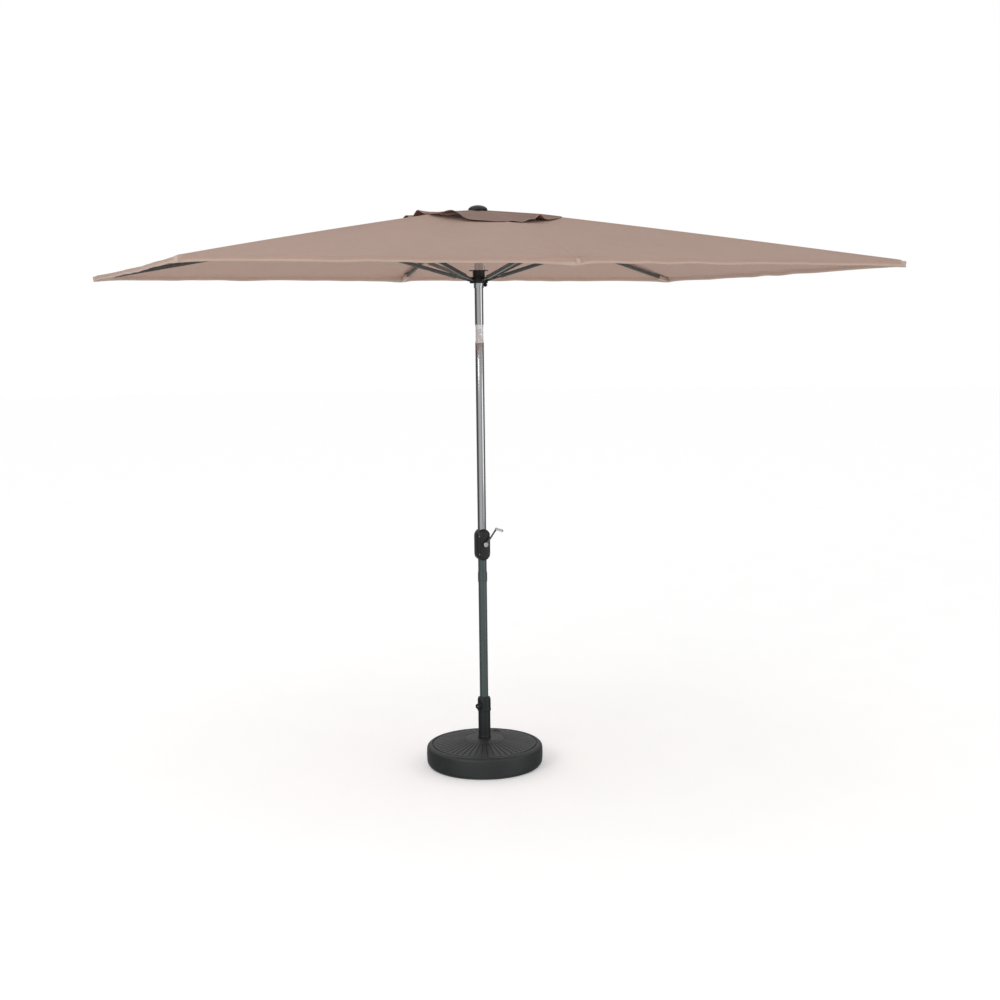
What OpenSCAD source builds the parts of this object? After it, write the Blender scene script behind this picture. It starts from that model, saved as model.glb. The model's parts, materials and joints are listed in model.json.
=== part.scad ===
// Rectangular patio umbrella with a crank, a tilt joint and a fillable round base.
// Millimetres. +Z is up, the mast is the Z axis and the floor is z = 0.
// The long side of the canopy lies along X, its short side along Y. The crank faces -Y.

/* [Canopy] */
// Canopy size along X, corner to corner
canopy_x = 3000; // [2600:10:3200]
// Canopy size along Y, corner to corner
canopy_y = 2000; // [1800:10:2100]
// Height of the fabric surface where its ridges would meet over the mast
canopy_peak_z = 2478; // [2470:1:2482]
// Height of the fabric surface at the rib tips
canopy_tip_z = 2215; // [2212:1:2218]
// Rise of the ridges above a straight line, half way out
ridge_bow = 5; // [0:0.5:6]
// Rise of the hem above the rib tips, half way between two tips
hem_arch = 12; // [0:1:20]
// Thickness of the fabric, with its lining and seams
cloth_t = 2; // [1.5:0.1:2]
// Share of the way out at which the vent opening ends
vent_hole_share = 0.17; // [0.14:0.01:0.17]
// Share of the way out at which the vent cap ends, over a corner rib
vent_corner_share = 0.205; // [0.19:0.005:0.22]
// The same over a middle rib
vent_middle_share = 0.33; // [0.28:0.01:0.34]

/* [Ribs and struts] */
// Width of a rib and of a strut
rib_w = 12; // [11:0.5:12]
// Height of a rib
rib_h = 18; // [16:1:18]
// Height of a strut
strut_h = 16; // [12:1:16]
// Wall of the rib and strut tubes
tube_wall = 1; // [0.8:0.1:1.5]
// Distance of the struts' brackets from the hub pivot, along a corner rib
corner_bracket_at = 620; // [600:1:630]
// The same along a middle rib
middle_bracket_at = 636.5; // [620:0.5:640]
// Strut pivot below the rib's centre line
bracket_drop = 19; // [18:0.5:20]

/* [Mast] */
// Outside diameter of the mast tubes
pole_d = 38; // [37.5:0.1:38]
// Wall of the mast tubes
pole_wall = 1.2; // [1:0.1:1.5]
// Height of the join between the lower and the middle tube
pole_join_z = 861; // [840:1:880]
// Height of the tilt pivot
tilt_z = 1937; // [1930:1:1950]
// Diameter of the tilt joint's body
tilt_d = 34; // [33:0.5:35]

/* [Crank] */
// Height of the crank's axle
crank_z = 1008; // [1004:1:1010]
// Width of the crank housing
housing_w = 62; // [61:1:64]
// Height of the crank housing
housing_h = 142; // [140:1:146]
// Depth of the crank housing, without the raised panel
housing_depth = 60; // [59:1:64]
// Length of the crank arm, axle to grip
crank_arm_l = 84; // [78:1:84]
// Angle of the crank arm above +X
crank_angle = 54; // [40:1:70]
// Length of the grip
grip_l = 66; // [50:1:70]
// Radius at which the lifting cord winds on the spool
spool_r = 12; // [11.5:0.1:12]

/* [Runner and hub] */
// Height of the hub pivots
hub_pivot_z = 2452; // [2450:0.5:2453]
// Distance of the hub pivots from the mast axis
hub_pivot_r = 38; // [38:0.5:40]
// Height of the runner pivots with the canopy open
runner_pivot_z = 2167; // [2160:1:2172]
// Distance of the runner pivots from the mast axis
runner_pivot_r = 42; // [42:0.5:43]
// Distance of the lifting cord from the mast axis
cord_x = 29; // [28.5:0.5:29.5]

/* [Base] */
// Diameter of the base
base_d = 524; // [510:1:530]
// Height of the base at its rim
rim_h = 98; // [94:1:102]
// Height of the boss in the middle of the base
boss_h = 124; // [122:1:128]
// Wall of the base shell
shell_t = 4; // [3:0.5:5]
// Number of fine grooves that fan out over the base
groove_n = 48; // [36:12:48]
// Outside diameter of the socket tube
socket_d = 54.5; // [53:0.5:55]
// Height of the locking collar's top
collar_top_z = 310; // [305:1:315]
// Direction that the locking knob faces, from +X
knob_angle = 212; // [200:1:240]

/* [Hidden] */
$fn = 64;
gap = 0.2;                       // play between pieces of one body
pole_r = pole_d / 2;
pole_in_r = pole_r - pole_wall;
tips = [                         // rib tips: name, x, y
    ["near_left", -canopy_x / 2, -canopy_y / 2],
    ["near_middle", 0, -canopy_y / 2],
    ["near_right", canopy_x / 2, -canopy_y / 2],
    ["far_right", canopy_x / 2, canopy_y / 2],
    ["far_middle", 0, canopy_y / 2],
    ["far_left", -canopy_x / 2, canopy_y / 2],
];
rib_n = len(tips);
rib_end_gap = 13;                // the rib stops this far short of the fabric's tip
rib_sink = 12.3;                 // rib centre line below the fabric surface at its tip
pin_r = 2;
eye_r = 4.2;                     // rounded ends of the struts
strut_tongue_w = 8;
rib_tongue_w = 5;
hub_slot_w = 5.6;
runner_slot_w = 13.5;

function tip_r(i) = norm([tips[i][1], tips[i][2]]);
function azimuth(i) = atan2(tips[i][2], tips[i][1]);
function is_corner(i) = abs(tips[i][1]) > 1;
function rib_tip_r(i) = tip_r(i) - rib_end_gap;
function fall_at(i) = (canopy_peak_z - canopy_tip_z) * rib_tip_r(i) / tip_r(i);
function rib_tip_z(i) = canopy_peak_z - fall_at(i) - rib_sink;
function rib_pitch(i) = atan2(hub_pivot_z - rib_tip_z(i), rib_tip_r(i) - hub_pivot_r);
function rib_len(i) = norm([hub_pivot_z - rib_tip_z(i), rib_tip_r(i) - hub_pivot_r]);
function bracket_at(i) = is_corner(i) ? corner_bracket_at : middle_bracket_at;
// Strut pivot on the rib, as [distance from the mast axis, height]
function strut_top(i) = [
    hub_pivot_r + bracket_at(i) * cos(rib_pitch(i)) - bracket_drop * sin(rib_pitch(i)),
    hub_pivot_z - bracket_at(i) * sin(rib_pitch(i)) - bracket_drop * cos(rib_pitch(i))];
function strut_span(i) = strut_top(i) - [runner_pivot_r, runner_pivot_z];

// Fabric surface: share runs from 0 over the mast to 1 at the hem, side from one rib to the next
function ridge_z(share) =
    canopy_peak_z - (canopy_peak_z - canopy_tip_z) * share + ridge_bow * 4 * share * (1 - share);
function main_z(share, side) = ridge_z(share) + hem_arch * 4 * side * (1 - side) * pow(share, 3);
function tip(i) = [tips[i % rib_n][1], tips[i % rib_n][2]];
function plan(share, a, b, side) = share * ((1 - side) * a + side * b);

// Vent cap: its own share runs from 0 over the mast to 1 at its edge
vent_sink = 8;                   // under the peak, over the mast
vent_rise = 3.9;                 // over the main fabric, further out
vent_settle = 0.15;              // share of the way out at which it has that rise
function vent_tip(i) = tip(i) * (is_corner(i % rib_n) ? vent_corner_share : vent_middle_share);
function share_at(p) = max(abs(p[0]) / (canopy_x / 2), abs(p[1]) / (canopy_y / 2));
function vent_z(share) =
    ridge_z(share) - vent_sink + (vent_sink + vent_rise + cloth_t) * min(1, share / vent_settle);

// ---- helpers ----

// Upright tube
module tube(r, inner_r, z0, z1) {
    translate([0, 0, z0]) difference() {
        cylinder(r = r, h = z1 - z0);
        translate([0, 0, -1]) cylinder(r = inner_r, h = z1 - z0 + 2);
    }
}

// Cylinder along +Y from y0 to y1, at x and z
module along_y(r, y0, y1, x = 0, z = 0) {
    translate([x, y1, z]) rotate([90, 0, 0]) cylinder(r = r, h = y1 - y0);
}

// Block between two corners
module block(low, high) {
    translate(low) cube(high - low);
}

// Places children at a rib's azimuth, with +X pointing outwards
module at_rib(i) {
    rotate([0, 0, azimuth(i)]) children();
}

// Frame of a rib: origin at its hub pivot, +X along the rib to its tip
module in_rib(i) {
    at_rib(i) translate([hub_pivot_r, 0, hub_pivot_z]) rotate([0, rib_pitch(i), 0]) children();
}

// ---- base ----

rim_groove_r = base_d / 2 - 27;
cone_r = rim_groove_r - 6;       // outer edge of the sloping top
boss_r = 75;
cone_top_z = boss_h - 4;
cone_slope = atan2(cone_top_z - rim_h, cone_r - boss_r - 4);
groove_start = 86;
groove_end = cone_r - 6;
groove_w = 2.4;
groove_deep = 1.8;
module base_outline(inset) {
    r = base_d / 2 - inset;
    low = 28 - inset;
    top = rim_h - inset;
    edge = 12 - inset / 2;
    translate([r - low, 28]) circle(r = low);
    translate([r - edge, top - edge]) circle(r = edge);
    polygon([
        [0, inset], [r - low, inset], [r - low, 28], [r, 28], [r, top - edge], [r - edge, top - edge],
        [r - edge, top], [rim_groove_r + 6, top], [rim_groove_r, top - 4], [cone_r, top],
        [boss_r + 4, cone_top_z - inset], [boss_r, boss_h - inset], [0, boss_h - inset],
    ]);
}

filler_x = 105;
filler_y = 127;
filler_r = 20;
neck_wall = 3;
filler_rest_z = 96;              // ledge that the filler cap stands on
well_r = socket_d / 2 + gap;
well_z = 16;

module base_shell() color([0.22, 0.23, 0.23]) difference() {
    rotate_extrude($fn = 128) base_outline(0);
    difference() {
        rotate_extrude($fn = 128) base_outline(shell_t);
        cylinder(r = well_r + shell_t, h = boss_h);
        translate([filler_x, filler_y, 70]) cylinder(r = filler_r + neck_wall, h = 60);
    }
    translate([0, 0, well_z]) cylinder(r = well_r, h = boss_h);
    translate([filler_x, filler_y, 50]) cylinder(r = filler_r - 4, h = 80);
    translate([filler_x, filler_y, filler_rest_z]) cylinder(r = filler_r, h = 40);
    for (k = [0 : groove_n - 1]) rotate([0, 0, (k + 0.5) * 360 / groove_n])
        translate([cone_r, 0, rim_h]) rotate([0, cone_slope, 0])
            translate([groove_start - cone_r, -groove_w / 2, -groove_deep])
                cube([groove_end - groove_start, groove_w, 8]);
}

// Sand or water that fills the shell to just under the filler neck
module ballast() color([0.55, 0.50, 0.42]) rotate_extrude($fn = 96) polygon([
    [well_r + shell_t + 0.5, shell_t + 1], [base_d / 2 - 30, shell_t + 1], [base_d / 2 - 8, 30],
    [base_d / 2 - 8, 66], [well_r + shell_t + 0.5, 66],
]);

filler_cap_top = 105;
module filler_cap() color([0.10, 0.10, 0.10]) translate([filler_x, filler_y, 0]) difference() {
    union() {
        translate([0, 0, filler_rest_z]) cylinder(r = filler_r - 0.4, h = filler_cap_top - filler_rest_z);
        translate([0, 0, filler_rest_z - 14]) cylinder(r = filler_r - 4.4, h = 15);
    }
    translate([0, 0, filler_rest_z - 15]) cylinder(r = filler_r - 7, h = 17);
    difference() {
        translate([0, 0, filler_cap_top - 4]) cylinder(r = filler_r - 4, h = 5);
        block([-20, -2, filler_cap_top - 5], [20, 2, filler_cap_top + 1]);
    }
}

socket_top = 268;
sleeve_r = socket_d / 2 - 4 - gap;
module socket_tube() color([0.20, 0.22, 0.22]) tube(socket_d / 2, socket_d / 2 - 4, well_z, socket_top);

// Liner that brings the socket down to the mast's diameter
module reducer_sleeve() color([0.12, 0.12, 0.12]) {
    tube(sleeve_r, pole_r + 0.3, well_z + 6, socket_top - 0.2);
    translate([0, 0, well_z]) cylinder(r = sleeve_r, h = 6);
}

collar_z = 248;
knob_z = 275;
screw_r = 4;
collar_boss_end = 33;
module locking_collar() color([0.16, 0.17, 0.17]) difference() {
    union() {
        translate([0, 0, collar_z]) cylinder(r = 30.5, h = 8);
        translate([0, 0, collar_z + 8]) cylinder(r = 29.5, h = 42);
        translate([0, 0, collar_z + 50]) cylinder(r1 = 29.5, r2 = 27.5, h = collar_top_z - collar_z - 50);
        rotate([0, 0, knob_angle]) translate([0, 0, knob_z]) rotate([0, 90, 0])
            cylinder(r = 9, h = collar_boss_end);
    }
    translate([0, 0, collar_z - 1]) cylinder(r = socket_d / 2 + gap, h = socket_top - collar_z + 1);
    translate([0, 0, collar_z]) cylinder(r = pole_r + 0.3, h = 80);
    rotate([0, 0, knob_angle]) translate([0, 0, knob_z]) rotate([0, 90, 0])
        cylinder(r = screw_r + 0.1, h = 60);
}

screw_tip = pole_r + 0.5;
knob_in = collar_boss_end + 5;
knob_out = knob_in + 14;
module lock_screw() color([0.75, 0.76, 0.77]) rotate([0, 0, knob_angle]) translate([screw_tip, 0, knob_z])
    rotate([0, 90, 0]) cylinder(r = screw_r, h = knob_out - 4 - screw_tip);

module lock_knob() color([0.10, 0.10, 0.10]) rotate([0, 0, knob_angle]) translate([knob_in, 0, knob_z])
    rotate([0, 90, 0]) difference() {
        union() {
            cylinder(r = 8, h = 5);
            translate([0, 0, 3]) cylinder(r = 13, h = knob_out - knob_in - 3);
        }
        translate([0, 0, -1]) cylinder(r = screw_r + 0.05, h = knob_out - knob_in - 2.9);
        for (k = [0 : 5]) rotate([0, 0, 60 * k]) translate([15.5, 0, 2]) cylinder(r = 4.5, h = 20);
    }

// ---- mast ----

pole_foot_z = well_z + 6 + 0.2;
module lower_pole() color([0.32, 0.36, 0.36]) tube(pole_r, pole_in_r, pole_foot_z, pole_join_z - 1);

module pole_coupling() color([0.30, 0.34, 0.34]) {
    tube(pole_in_r - gap, pole_in_r - 2.4, pole_join_z - 80, pole_join_z + 80);
    tube(pole_r + 2, pole_in_r - 1, pole_join_z - 0.9, pole_join_z + 0.9);
    tube(pole_r + 2, pole_r + gap, pole_join_z - 25, pole_join_z);
    tube(pole_r + 2, pole_r + gap, pole_join_z, pole_join_z + 20);
}

cord_r = 1.5;
spool_half = 10;
spool_flange_r = 17;
fork_z = 1897;
middle_top = fork_z;
module middle_pole() color([0.62, 0.62, 0.62]) difference() {
    tube(pole_r, pole_in_r, pole_join_z + 1, middle_top);
    along_y(6, -30, 30, 0, crank_z);
    block([-30, -spool_half - 1, crank_z - 20], [30, spool_half + 1, crank_z + 20]);
}

housing_z = (933 + 1075) / 2;
panel_out = 6;
module housing_outline(inset) {
    r = housing_w / 2 - inset;
    run = housing_h / 2 - housing_w / 2;
    for (s = [-1, 1]) translate([0, housing_z + s * run]) circle(r = r);
    translate([-r, housing_z - run]) square([2 * r, 2 * run]);
}

// Slab of the housing's outline between y0 and y1
module housing_slab(inset, y0, y1) {
    translate([0, y1, 0]) rotate([90, 0, 0]) linear_extrude(height = y1 - y0) housing_outline(inset);
}

screw_x = 23.3;
screw_rise = 40;
screw_post_r = 3.6;
screw_r_shank = 1.3;
screw_head_r = 2.8;
module screw_places() {
    for (sx = [-1, 1], sz = [-1, 1])
        translate([sx * screw_x, 0, housing_z + sz * screw_rise]) children();
}

housing_y = housing_depth / 2;
module crank_front_shell() color([0.26, 0.27, 0.27]) difference() {
    union() {
        difference() {
            union() {
                housing_slab(0, -housing_y + 4, -0.1);
                housing_slab(4, -housing_y, -0.1);
                housing_slab(11, -housing_y - panel_out, -0.1);
            }
            housing_slab(7, -housing_y + 3, 1);
        }
        screw_places() along_y(screw_post_r, -housing_y + 2, -0.1);
        along_y(9, -housing_y - panel_out - 3, -pole_r - 3, 0, crank_z);
    }
    translate([0, 0, housing_z - 100]) cylinder(r = pole_r + gap, h = 200);
    along_y(7.1, -80, 0, 0, crank_z);
    screw_places() along_y(screw_r_shank + 0.3, -80, 1);
    screw_places() along_y(screw_head_r + 0.3, -80, -housing_y + 3);
}

module crank_rear_shell() color([0.26, 0.27, 0.27]) difference() {
    union() {
        difference() {
            union() {
                housing_slab(0, 0.1, housing_y - 4);
                housing_slab(4, 0.1, housing_y);
            }
            housing_slab(7, -1, housing_y - 3);
        }
        screw_places() along_y(screw_post_r, 0.1, housing_y - 2);
        along_y(9, pole_r + 3, housing_y - 2, 0, crank_z);
    }
    translate([0, 0, housing_z - 100]) cylinder(r = pole_r + gap, h = 200);
    along_y(7.1, 0, axle_back + 0.3, 0, crank_z);
    screw_places() along_y(screw_r_shank + 0.1, -1, 22);
}

module crank_screws() color([0.70, 0.70, 0.72]) screw_places() {
    along_y(screw_r_shank, -housing_y + 3, 20);
    along_y(screw_head_r, -housing_y + 0.5, -housing_y + 3);
}

axle_r = 5;
axle_front = -housing_y - panel_out - 12;
axle_back = housing_y - 4;
module crank_axle() color([0.70, 0.70, 0.72]) {
    along_y(axle_r, axle_front, -spool_half, 0, crank_z);
    along_y(axle_r, spool_half, axle_back, 0, crank_z);
    along_y(axle_r, -spool_half, spool_half, 0, crank_z);
    along_y(7, -housing_y - panel_out - 2.5, -pole_r - 4, 0, crank_z);
    along_y(7, pole_r + 4, axle_back, 0, crank_z);
}

module cord_spool() color([0.85, 0.85, 0.82]) difference() {
    union() {
        along_y(spool_r - 1.5, -spool_half, spool_half, 0, crank_z);
        along_y(spool_flange_r, -spool_half, -spool_half + 2, 0, crank_z);
        along_y(spool_flange_r, spool_half - 2, spool_half, 0, crank_z);
    }
    along_y(axle_r + 0.02, -20, 20, 0, crank_z);
}

arm_back = axle_front + 3;
arm_front = arm_back - 5;
grip_end = arm_front - 1 - grip_l;
arm_half_w = 3.8;
rivet_r = 2.5;
// Frame of the crank arm: origin on the axle, +X along the arm
module in_crank() {
    translate([0, 0, crank_z]) rotate([0, -crank_angle, 0]) children();
}

module crank_arm() color([0.72, 0.72, 0.73]) difference() {
    in_crank() {
        along_y(9.5, arm_front, arm_back + 4);
        along_y(7, arm_front - 4, arm_front);
        along_y(5.5, arm_front, arm_back, crank_arm_l);
        block([0, arm_front, -arm_half_w], [crank_arm_l, arm_back, arm_half_w]);
        along_y(rivet_r, grip_end + 4, arm_front, crank_arm_l);
    }
    along_y(axle_r + 0.02, axle_front, 0, 0, crank_z);
}

module crank_grip() color([0.80, 0.80, 0.80]) in_crank() difference() {
    union() {
        along_y(6.5, grip_end + 6, arm_front - 1, crank_arm_l);
        along_y(8, grip_end, grip_end + 16, crank_arm_l);
    }
    along_y(rivet_r + 0.06, grip_end + 3.5, 0, crank_arm_l);
}

// ---- tilt joint ----

tilt_r = tilt_d / 2;
ear_in = 9;                      // half the gap between the fork's ears
tongue_half = 8.8;
slot_r = tilt_r + 1.3;           // lets the tongue's square shoulders pass at full tilt
button_r = 7;
recess_y = -tilt_r + 7;
passage = [9.8, 14.8];           // the cord passes the tilt pin between these x
knuckle_z = tilt_z + tilt_r + 0.4;
upper_foot_z = 1976;

module fork_side(half, z0) {
    along_y(tilt_r - 0.3, -half, half, 0, tilt_z);
    block([-tilt_r, -half, z0], [tilt_r, half, tilt_z]);
}

module tilt_fork() color([0.80, 0.80, 0.81]) difference() {
    union() {
        translate([0, 0, fork_z - 55]) cylinder(r = pole_in_r - gap, h = 55);
        translate([0, 0, fork_z]) cylinder(r = pole_r - 0.5, h = 6);
        intersection() {
            translate([0, 0, fork_z]) cylinder(r = tilt_r, h = 80);
            fork_side(30, fork_z);
        }
    }
    along_y(slot_r, -ear_in, ear_in, 0, tilt_z);
    block([-30, -ear_in, tilt_z], [30, ear_in, tilt_z + 40]);
    along_y(4.03, -40, 40, 0, tilt_z);
    along_y(button_r + 0.15, -30, recess_y, 0, tilt_z);
    block([passage[0], -2.5, fork_z - 60], [passage[1], 2.5, tilt_z]);
}

module tilt_pin() color([0.75, 0.75, 0.76]) {
    along_y(4, recess_y + 0.2, tilt_r - 0.5, 0, tilt_z);
}

button_face = -pole_r + 0.5;
button_depth = 5;
module tilt_button() color([0.85, 0.85, 0.86]) difference() {
    along_y(button_r, button_face, button_face + button_depth, 0, tilt_z);
    along_y(button_r - 1.5, button_face + 1.5, 0, 0, tilt_z);
}

// Coil spring between the button's cup and the floor of its recess
spring_turns = 3;
spring_steps = 20;               // rings in one turn
spring_sides = 8;
spring_r = 4.4;
wire_r = 0.5;
module coil_along_y(y0, y1) {
    ring_n = spring_turns * spring_steps;
    points = [for (k = [0 : ring_n], m = [0 : spring_sides - 1])
        let (turn = k * 360 / spring_steps, side = m * 360 / spring_sides, r = spring_r + wire_r * cos(side))
            [r * cos(turn), y0 + (y1 - y0) * k / ring_n + wire_r * sin(side), tilt_z + r * sin(turn)]];
    function at(k, m) = k * spring_sides + m % spring_sides;
    faces = [
        [for (m = [0 : spring_sides - 1]) at(0, m)],
        [for (m = [spring_sides - 1 : -1 : 0]) at(ring_n, m)],
        for (k = [0 : ring_n - 1], m = [0 : spring_sides - 1]) each [
            [at(k, m), at(k + 1, m), at(k + 1, m + 1)], [at(k, m), at(k + 1, m + 1), at(k, m + 1)]],
    ];
    polyhedron(points = points, faces = faces);
}

module button_spring() color([0.6, 0.6, 0.6])
    coil_along_y(button_face + 1.6 + wire_r, recess_y - wire_r - 0.1);

module tilt_knuckle() color([0.80, 0.80, 0.81]) difference() {
    union() {
        intersection() {
            translate([0, 0, tilt_z - 40]) cylinder(r = tilt_r, h = 80);
            union() {
                along_y(tilt_r - 0.3, -tongue_half, tongue_half, 0, tilt_z);
                block([-tilt_r, -tongue_half, tilt_z], [tilt_r, tongue_half, knuckle_z]);
            }
        }
        translate([0, 0, knuckle_z]) cylinder(r = tilt_r, h = upper_foot_z - 6 - knuckle_z);
        translate([0, 0, upper_foot_z - 6]) cylinder(r = pole_r - 0.5, h = 6);
        translate([0, 0, upper_foot_z]) cylinder(r = pole_in_r - gap, h = 45);
    }
    along_y(4.05, -40, 40, 0, tilt_z);
    block([passage[0], -2.5, tilt_z - 40], [passage[1], 2.5, upper_foot_z + 60]);
}

// ---- upper mast ----

hub_low = 2385;
crown_low = 2440;
crown_top = 2460;
crown_r = 46;
pole_top = 2436;
pulley_x = (cord_x + spool_r) / 2;
pulley_z = 2418;
cord_turn_r = (cord_x - spool_r) / 2;    // cord's centre line on the pulley
pulley_r = cord_turn_r + 2;
pulley_pin_r = 1.5;
module upper_pole() color([0.66, 0.66, 0.66]) difference() {
    tube(pole_r, pole_in_r, upper_foot_z, pole_top);
    block([0, -5, hub_low + 10], [40, 5, pole_top + 5]);
}

module top_hub() color([0.14, 0.14, 0.14]) difference() {
    union() {
        translate([0, 0, hub_low]) cylinder(r = 23.5, h = crown_low - hub_low + 1);
        translate([0, 0, crown_low]) cylinder(r = crown_r, h = crown_top - crown_low);
        translate([0, 0, crown_top - 1]) cylinder(r = 12, h = 14);
    }
    translate([0, 0, hub_low - 1]) cylinder(r = pole_r + gap, h = pole_top - hub_low + 1.2);
    block([0, -5, hub_low + 10], [cord_x + 4, 5, pulley_z + pulley_r + 2]);
    translate([0, 0, 2446]) cylinder(r = 5.1, h = 40);
    along_y(pulley_pin_r + 0.02, -30, 30, pulley_x, pulley_z);
    for (i = [0 : rib_n - 1]) at_rib(i) {
        block([28, -hub_slot_w / 2, crown_low - 1], [60, hub_slot_w / 2, crown_top - 1.5]);
        along_y(pin_r + 0.02, -8, 8, hub_pivot_r, hub_pivot_z);
    }
}

module hub_pins() color([0.6, 0.6, 0.6])
    for (i = [0 : rib_n - 1]) at_rib(i) along_y(pin_r, -8, 8, hub_pivot_r, hub_pivot_z);

finial_r = 42;
finial_low = 2467.3;
finial_top = 2490;
finial_wall = 3;
finial_ball = (pow(finial_r, 2) + pow(finial_top - finial_low, 2)) / (2 * (finial_top - finial_low));
module finial() color([0.13, 0.13, 0.13]) {
    intersection() {
        translate([0, 0, finial_low]) cylinder(r = finial_r, h = 40);
        translate([0, 0, finial_top - finial_ball]) difference() {
            sphere(r = finial_ball, $fn = 96);
            sphere(r = finial_ball - finial_wall, $fn = 96);
        }
    }
    translate([0, 0, crown_top + 13.2]) cylinder(r = 9, h = finial_top - 2 - crown_top - 13.2);
    translate([0, 0, 2447]) cylinder(r = 5, h = 30);
}

module cord_pulley() color([0.85, 0.85, 0.82]) translate([pulley_x, 3.5, pulley_z]) rotate([90, 0, 0])
    difference() {
        cylinder(r = pulley_r, h = 7);
        rotate_extrude() translate([cord_turn_r, 3.5]) circle(r = cord_r + 0.2, $fn = 24);
        rotate_extrude() translate([cord_turn_r, 3.5 - cord_r - 0.2]) square([5, 2 * cord_r + 0.4]);
        translate([0, 0, -1]) cylinder(r = pulley_pin_r + 0.05, h = 9);
    }

module pulley_pin() color([0.6, 0.6, 0.6]) along_y(pulley_pin_r, -11, 11, pulley_x, pulley_z);

// Vertical run inside the mast, from the spool to just above the tilt joint
module cord_inner() color([0.92, 0.92, 0.90])
    translate([spool_r, 0, crank_z + 4]) cylinder(r = cord_r, h = upper_foot_z + 50 - crank_z - 4, $fn = 16);

// Run inside the upper mast and over the pulley
module cord_upper() color([0.92, 0.92, 0.90]) {
    translate([spool_r, 0, upper_foot_z + 51])
        cylinder(r = cord_r, h = pulley_z - upper_foot_z - 51, $fn = 16);
    translate([pulley_x, 0, pulley_z]) rotate([90, 0, 0]) rotate_extrude(angle = 180, $fn = 48)
        translate([cord_turn_r, 0]) circle(r = cord_r, $fn = 16);
}

// Run outside the mast, down to the runner
cord_end_z = 2153;
module cord_lift() color([0.92, 0.92, 0.90])
    translate([cord_x, 0, cord_end_z]) cylinder(r = cord_r, h = pulley_z - cord_end_z - 0.2, $fn = 16);

// ---- runner ----

crown_half = 13;
runner_low = runner_pivot_z - 33;
runner_high = runner_pivot_z + 44;
module runner() color([0.15, 0.15, 0.15]) difference() {
    union() {
        translate([0, 0, runner_low]) cylinder(r = 22, h = 22);
        translate([0, 0, runner_pivot_z - 12]) cylinder(r = 38, h = 26);
        translate([0, 0, runner_pivot_z - 12]) cylinder(r = 26, h = runner_high - runner_pivot_z + 12);
        translate([0, 0, runner_high - 3]) cylinder(r = 42, h = 3);
        for (i = [0 : rib_n - 1]) at_rib(i)
            block([28, -runner_slot_w / 2 - 3, runner_pivot_z - 12],
                  [runner_pivot_r + 4, runner_slot_w / 2 + 3, runner_pivot_z + 14]);
    }
    translate([0, 0, runner_low - 1]) cylinder(r = pole_r + 1.2, h = 90);
    translate([cord_x, 0, runner_low - 1]) cylinder(r = 2.5, h = 90);
    for (i = [0 : rib_n - 1]) at_rib(i) {
        block([runner_pivot_r - 7, -runner_slot_w / 2, runner_pivot_z - 20],
              [60, runner_slot_w / 2, runner_high + 1]);
        block([runner_pivot_r - 3.5, -20, runner_pivot_z - 20], [60, 20, runner_pivot_z + 3]);
    }
}

// Bead that holds the cord's end under the runner
module cord_stop() color([0.10, 0.10, 0.10]) difference() {
    translate([cord_x + 2.2, 0, runner_pivot_z - 12 - 7.2]) sphere(r = 7, $fn = 32);
    translate([cord_x, 0, cord_end_z - 0.5]) cylinder(r = cord_r + 0.1, h = 10);
    translate([0, 0, runner_low - 1]) cylinder(r = 22.2, h = 40);
}

// ---- ribs, brackets, tip caps and struts ----

rib_start = 18;                  // the tube starts this far from the hub pivot
module rib(i) color([0.45, 0.44, 0.43]) in_rib(i) difference() {
    union() {
        difference() {
            block([rib_start, -rib_w / 2, -rib_h / 2], [rib_len(i), rib_w / 2, rib_h / 2]);
            block([rib_start + plug_l, -rib_w / 2 + tube_wall, -rib_h / 2 + tube_wall],
                  [rib_len(i) + 1, rib_w / 2 - tube_wall, rib_h / 2 - tube_wall]);
        }
        along_y(6, -rib_tongue_w / 2, rib_tongue_w / 2);
        block([0, -rib_tongue_w / 2, -6], [rib_start + 1, rib_tongue_w / 2, 6]);
    }
    along_y(pin_r + 0.06, -10, 10);
}

ear_half = strut_tongue_w / 2 + 0.4;
ear_t = 2;
// Formed bracket under the rib, with its rivet
module rib_bracket(i) color([0.55, 0.55, 0.56]) in_rib(i) translate([bracket_at(i), 0, 0]) {
    difference() {
        union() {
            block([-16, -rib_w / 2, -rib_h / 2 - 2], [16, rib_w / 2, -rib_h / 2 - 0.02]);
            for (s = [-1, 1]) scale([1, s, 1]) {
                block([-8, ear_half, -bracket_drop], [8, ear_half + ear_t, -rib_h / 2 - 1]);
                along_y(8, ear_half, ear_half + ear_t, 0, -bracket_drop);
            }
        }
        along_y(pin_r + 0.02, -20, 20, 0, -bracket_drop);
    }
    along_y(pin_r, -ear_half - ear_t, ear_half + ear_t, 0, -bracket_drop);
}

module tip_cap(i) color([0.16, 0.15, 0.15]) in_rib(i) translate([rib_len(i), 0, 0]) {
    block([0.02, -rib_w / 2 - 0.5, -rib_h / 2 - 0.5], [9, rib_w / 2 + 0.5, rib_h / 2]);
    block([-20, -rib_w / 2 + tube_wall + gap, -rib_h / 2 + tube_wall + gap],
          [0.02, rib_w / 2 - tube_wall - gap, rib_h / 2 - tube_wall - gap]);
    block([8, -4, -5], [12, 4, 5]);
}

strut_tongue_l = 60;
strut_head_l = 32;
plug_l = 25;                     // length that the end fittings reach into the tube
// Frame of a strut: origin at its runner pivot, +X along the strut to the rib
module in_strut(i) {
    span = strut_span(i);
    at_rib(i) translate([runner_pivot_r, 0, runner_pivot_z]) rotate([0, -atan2(span[1], span[0]), 0])
        children();
}

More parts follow.
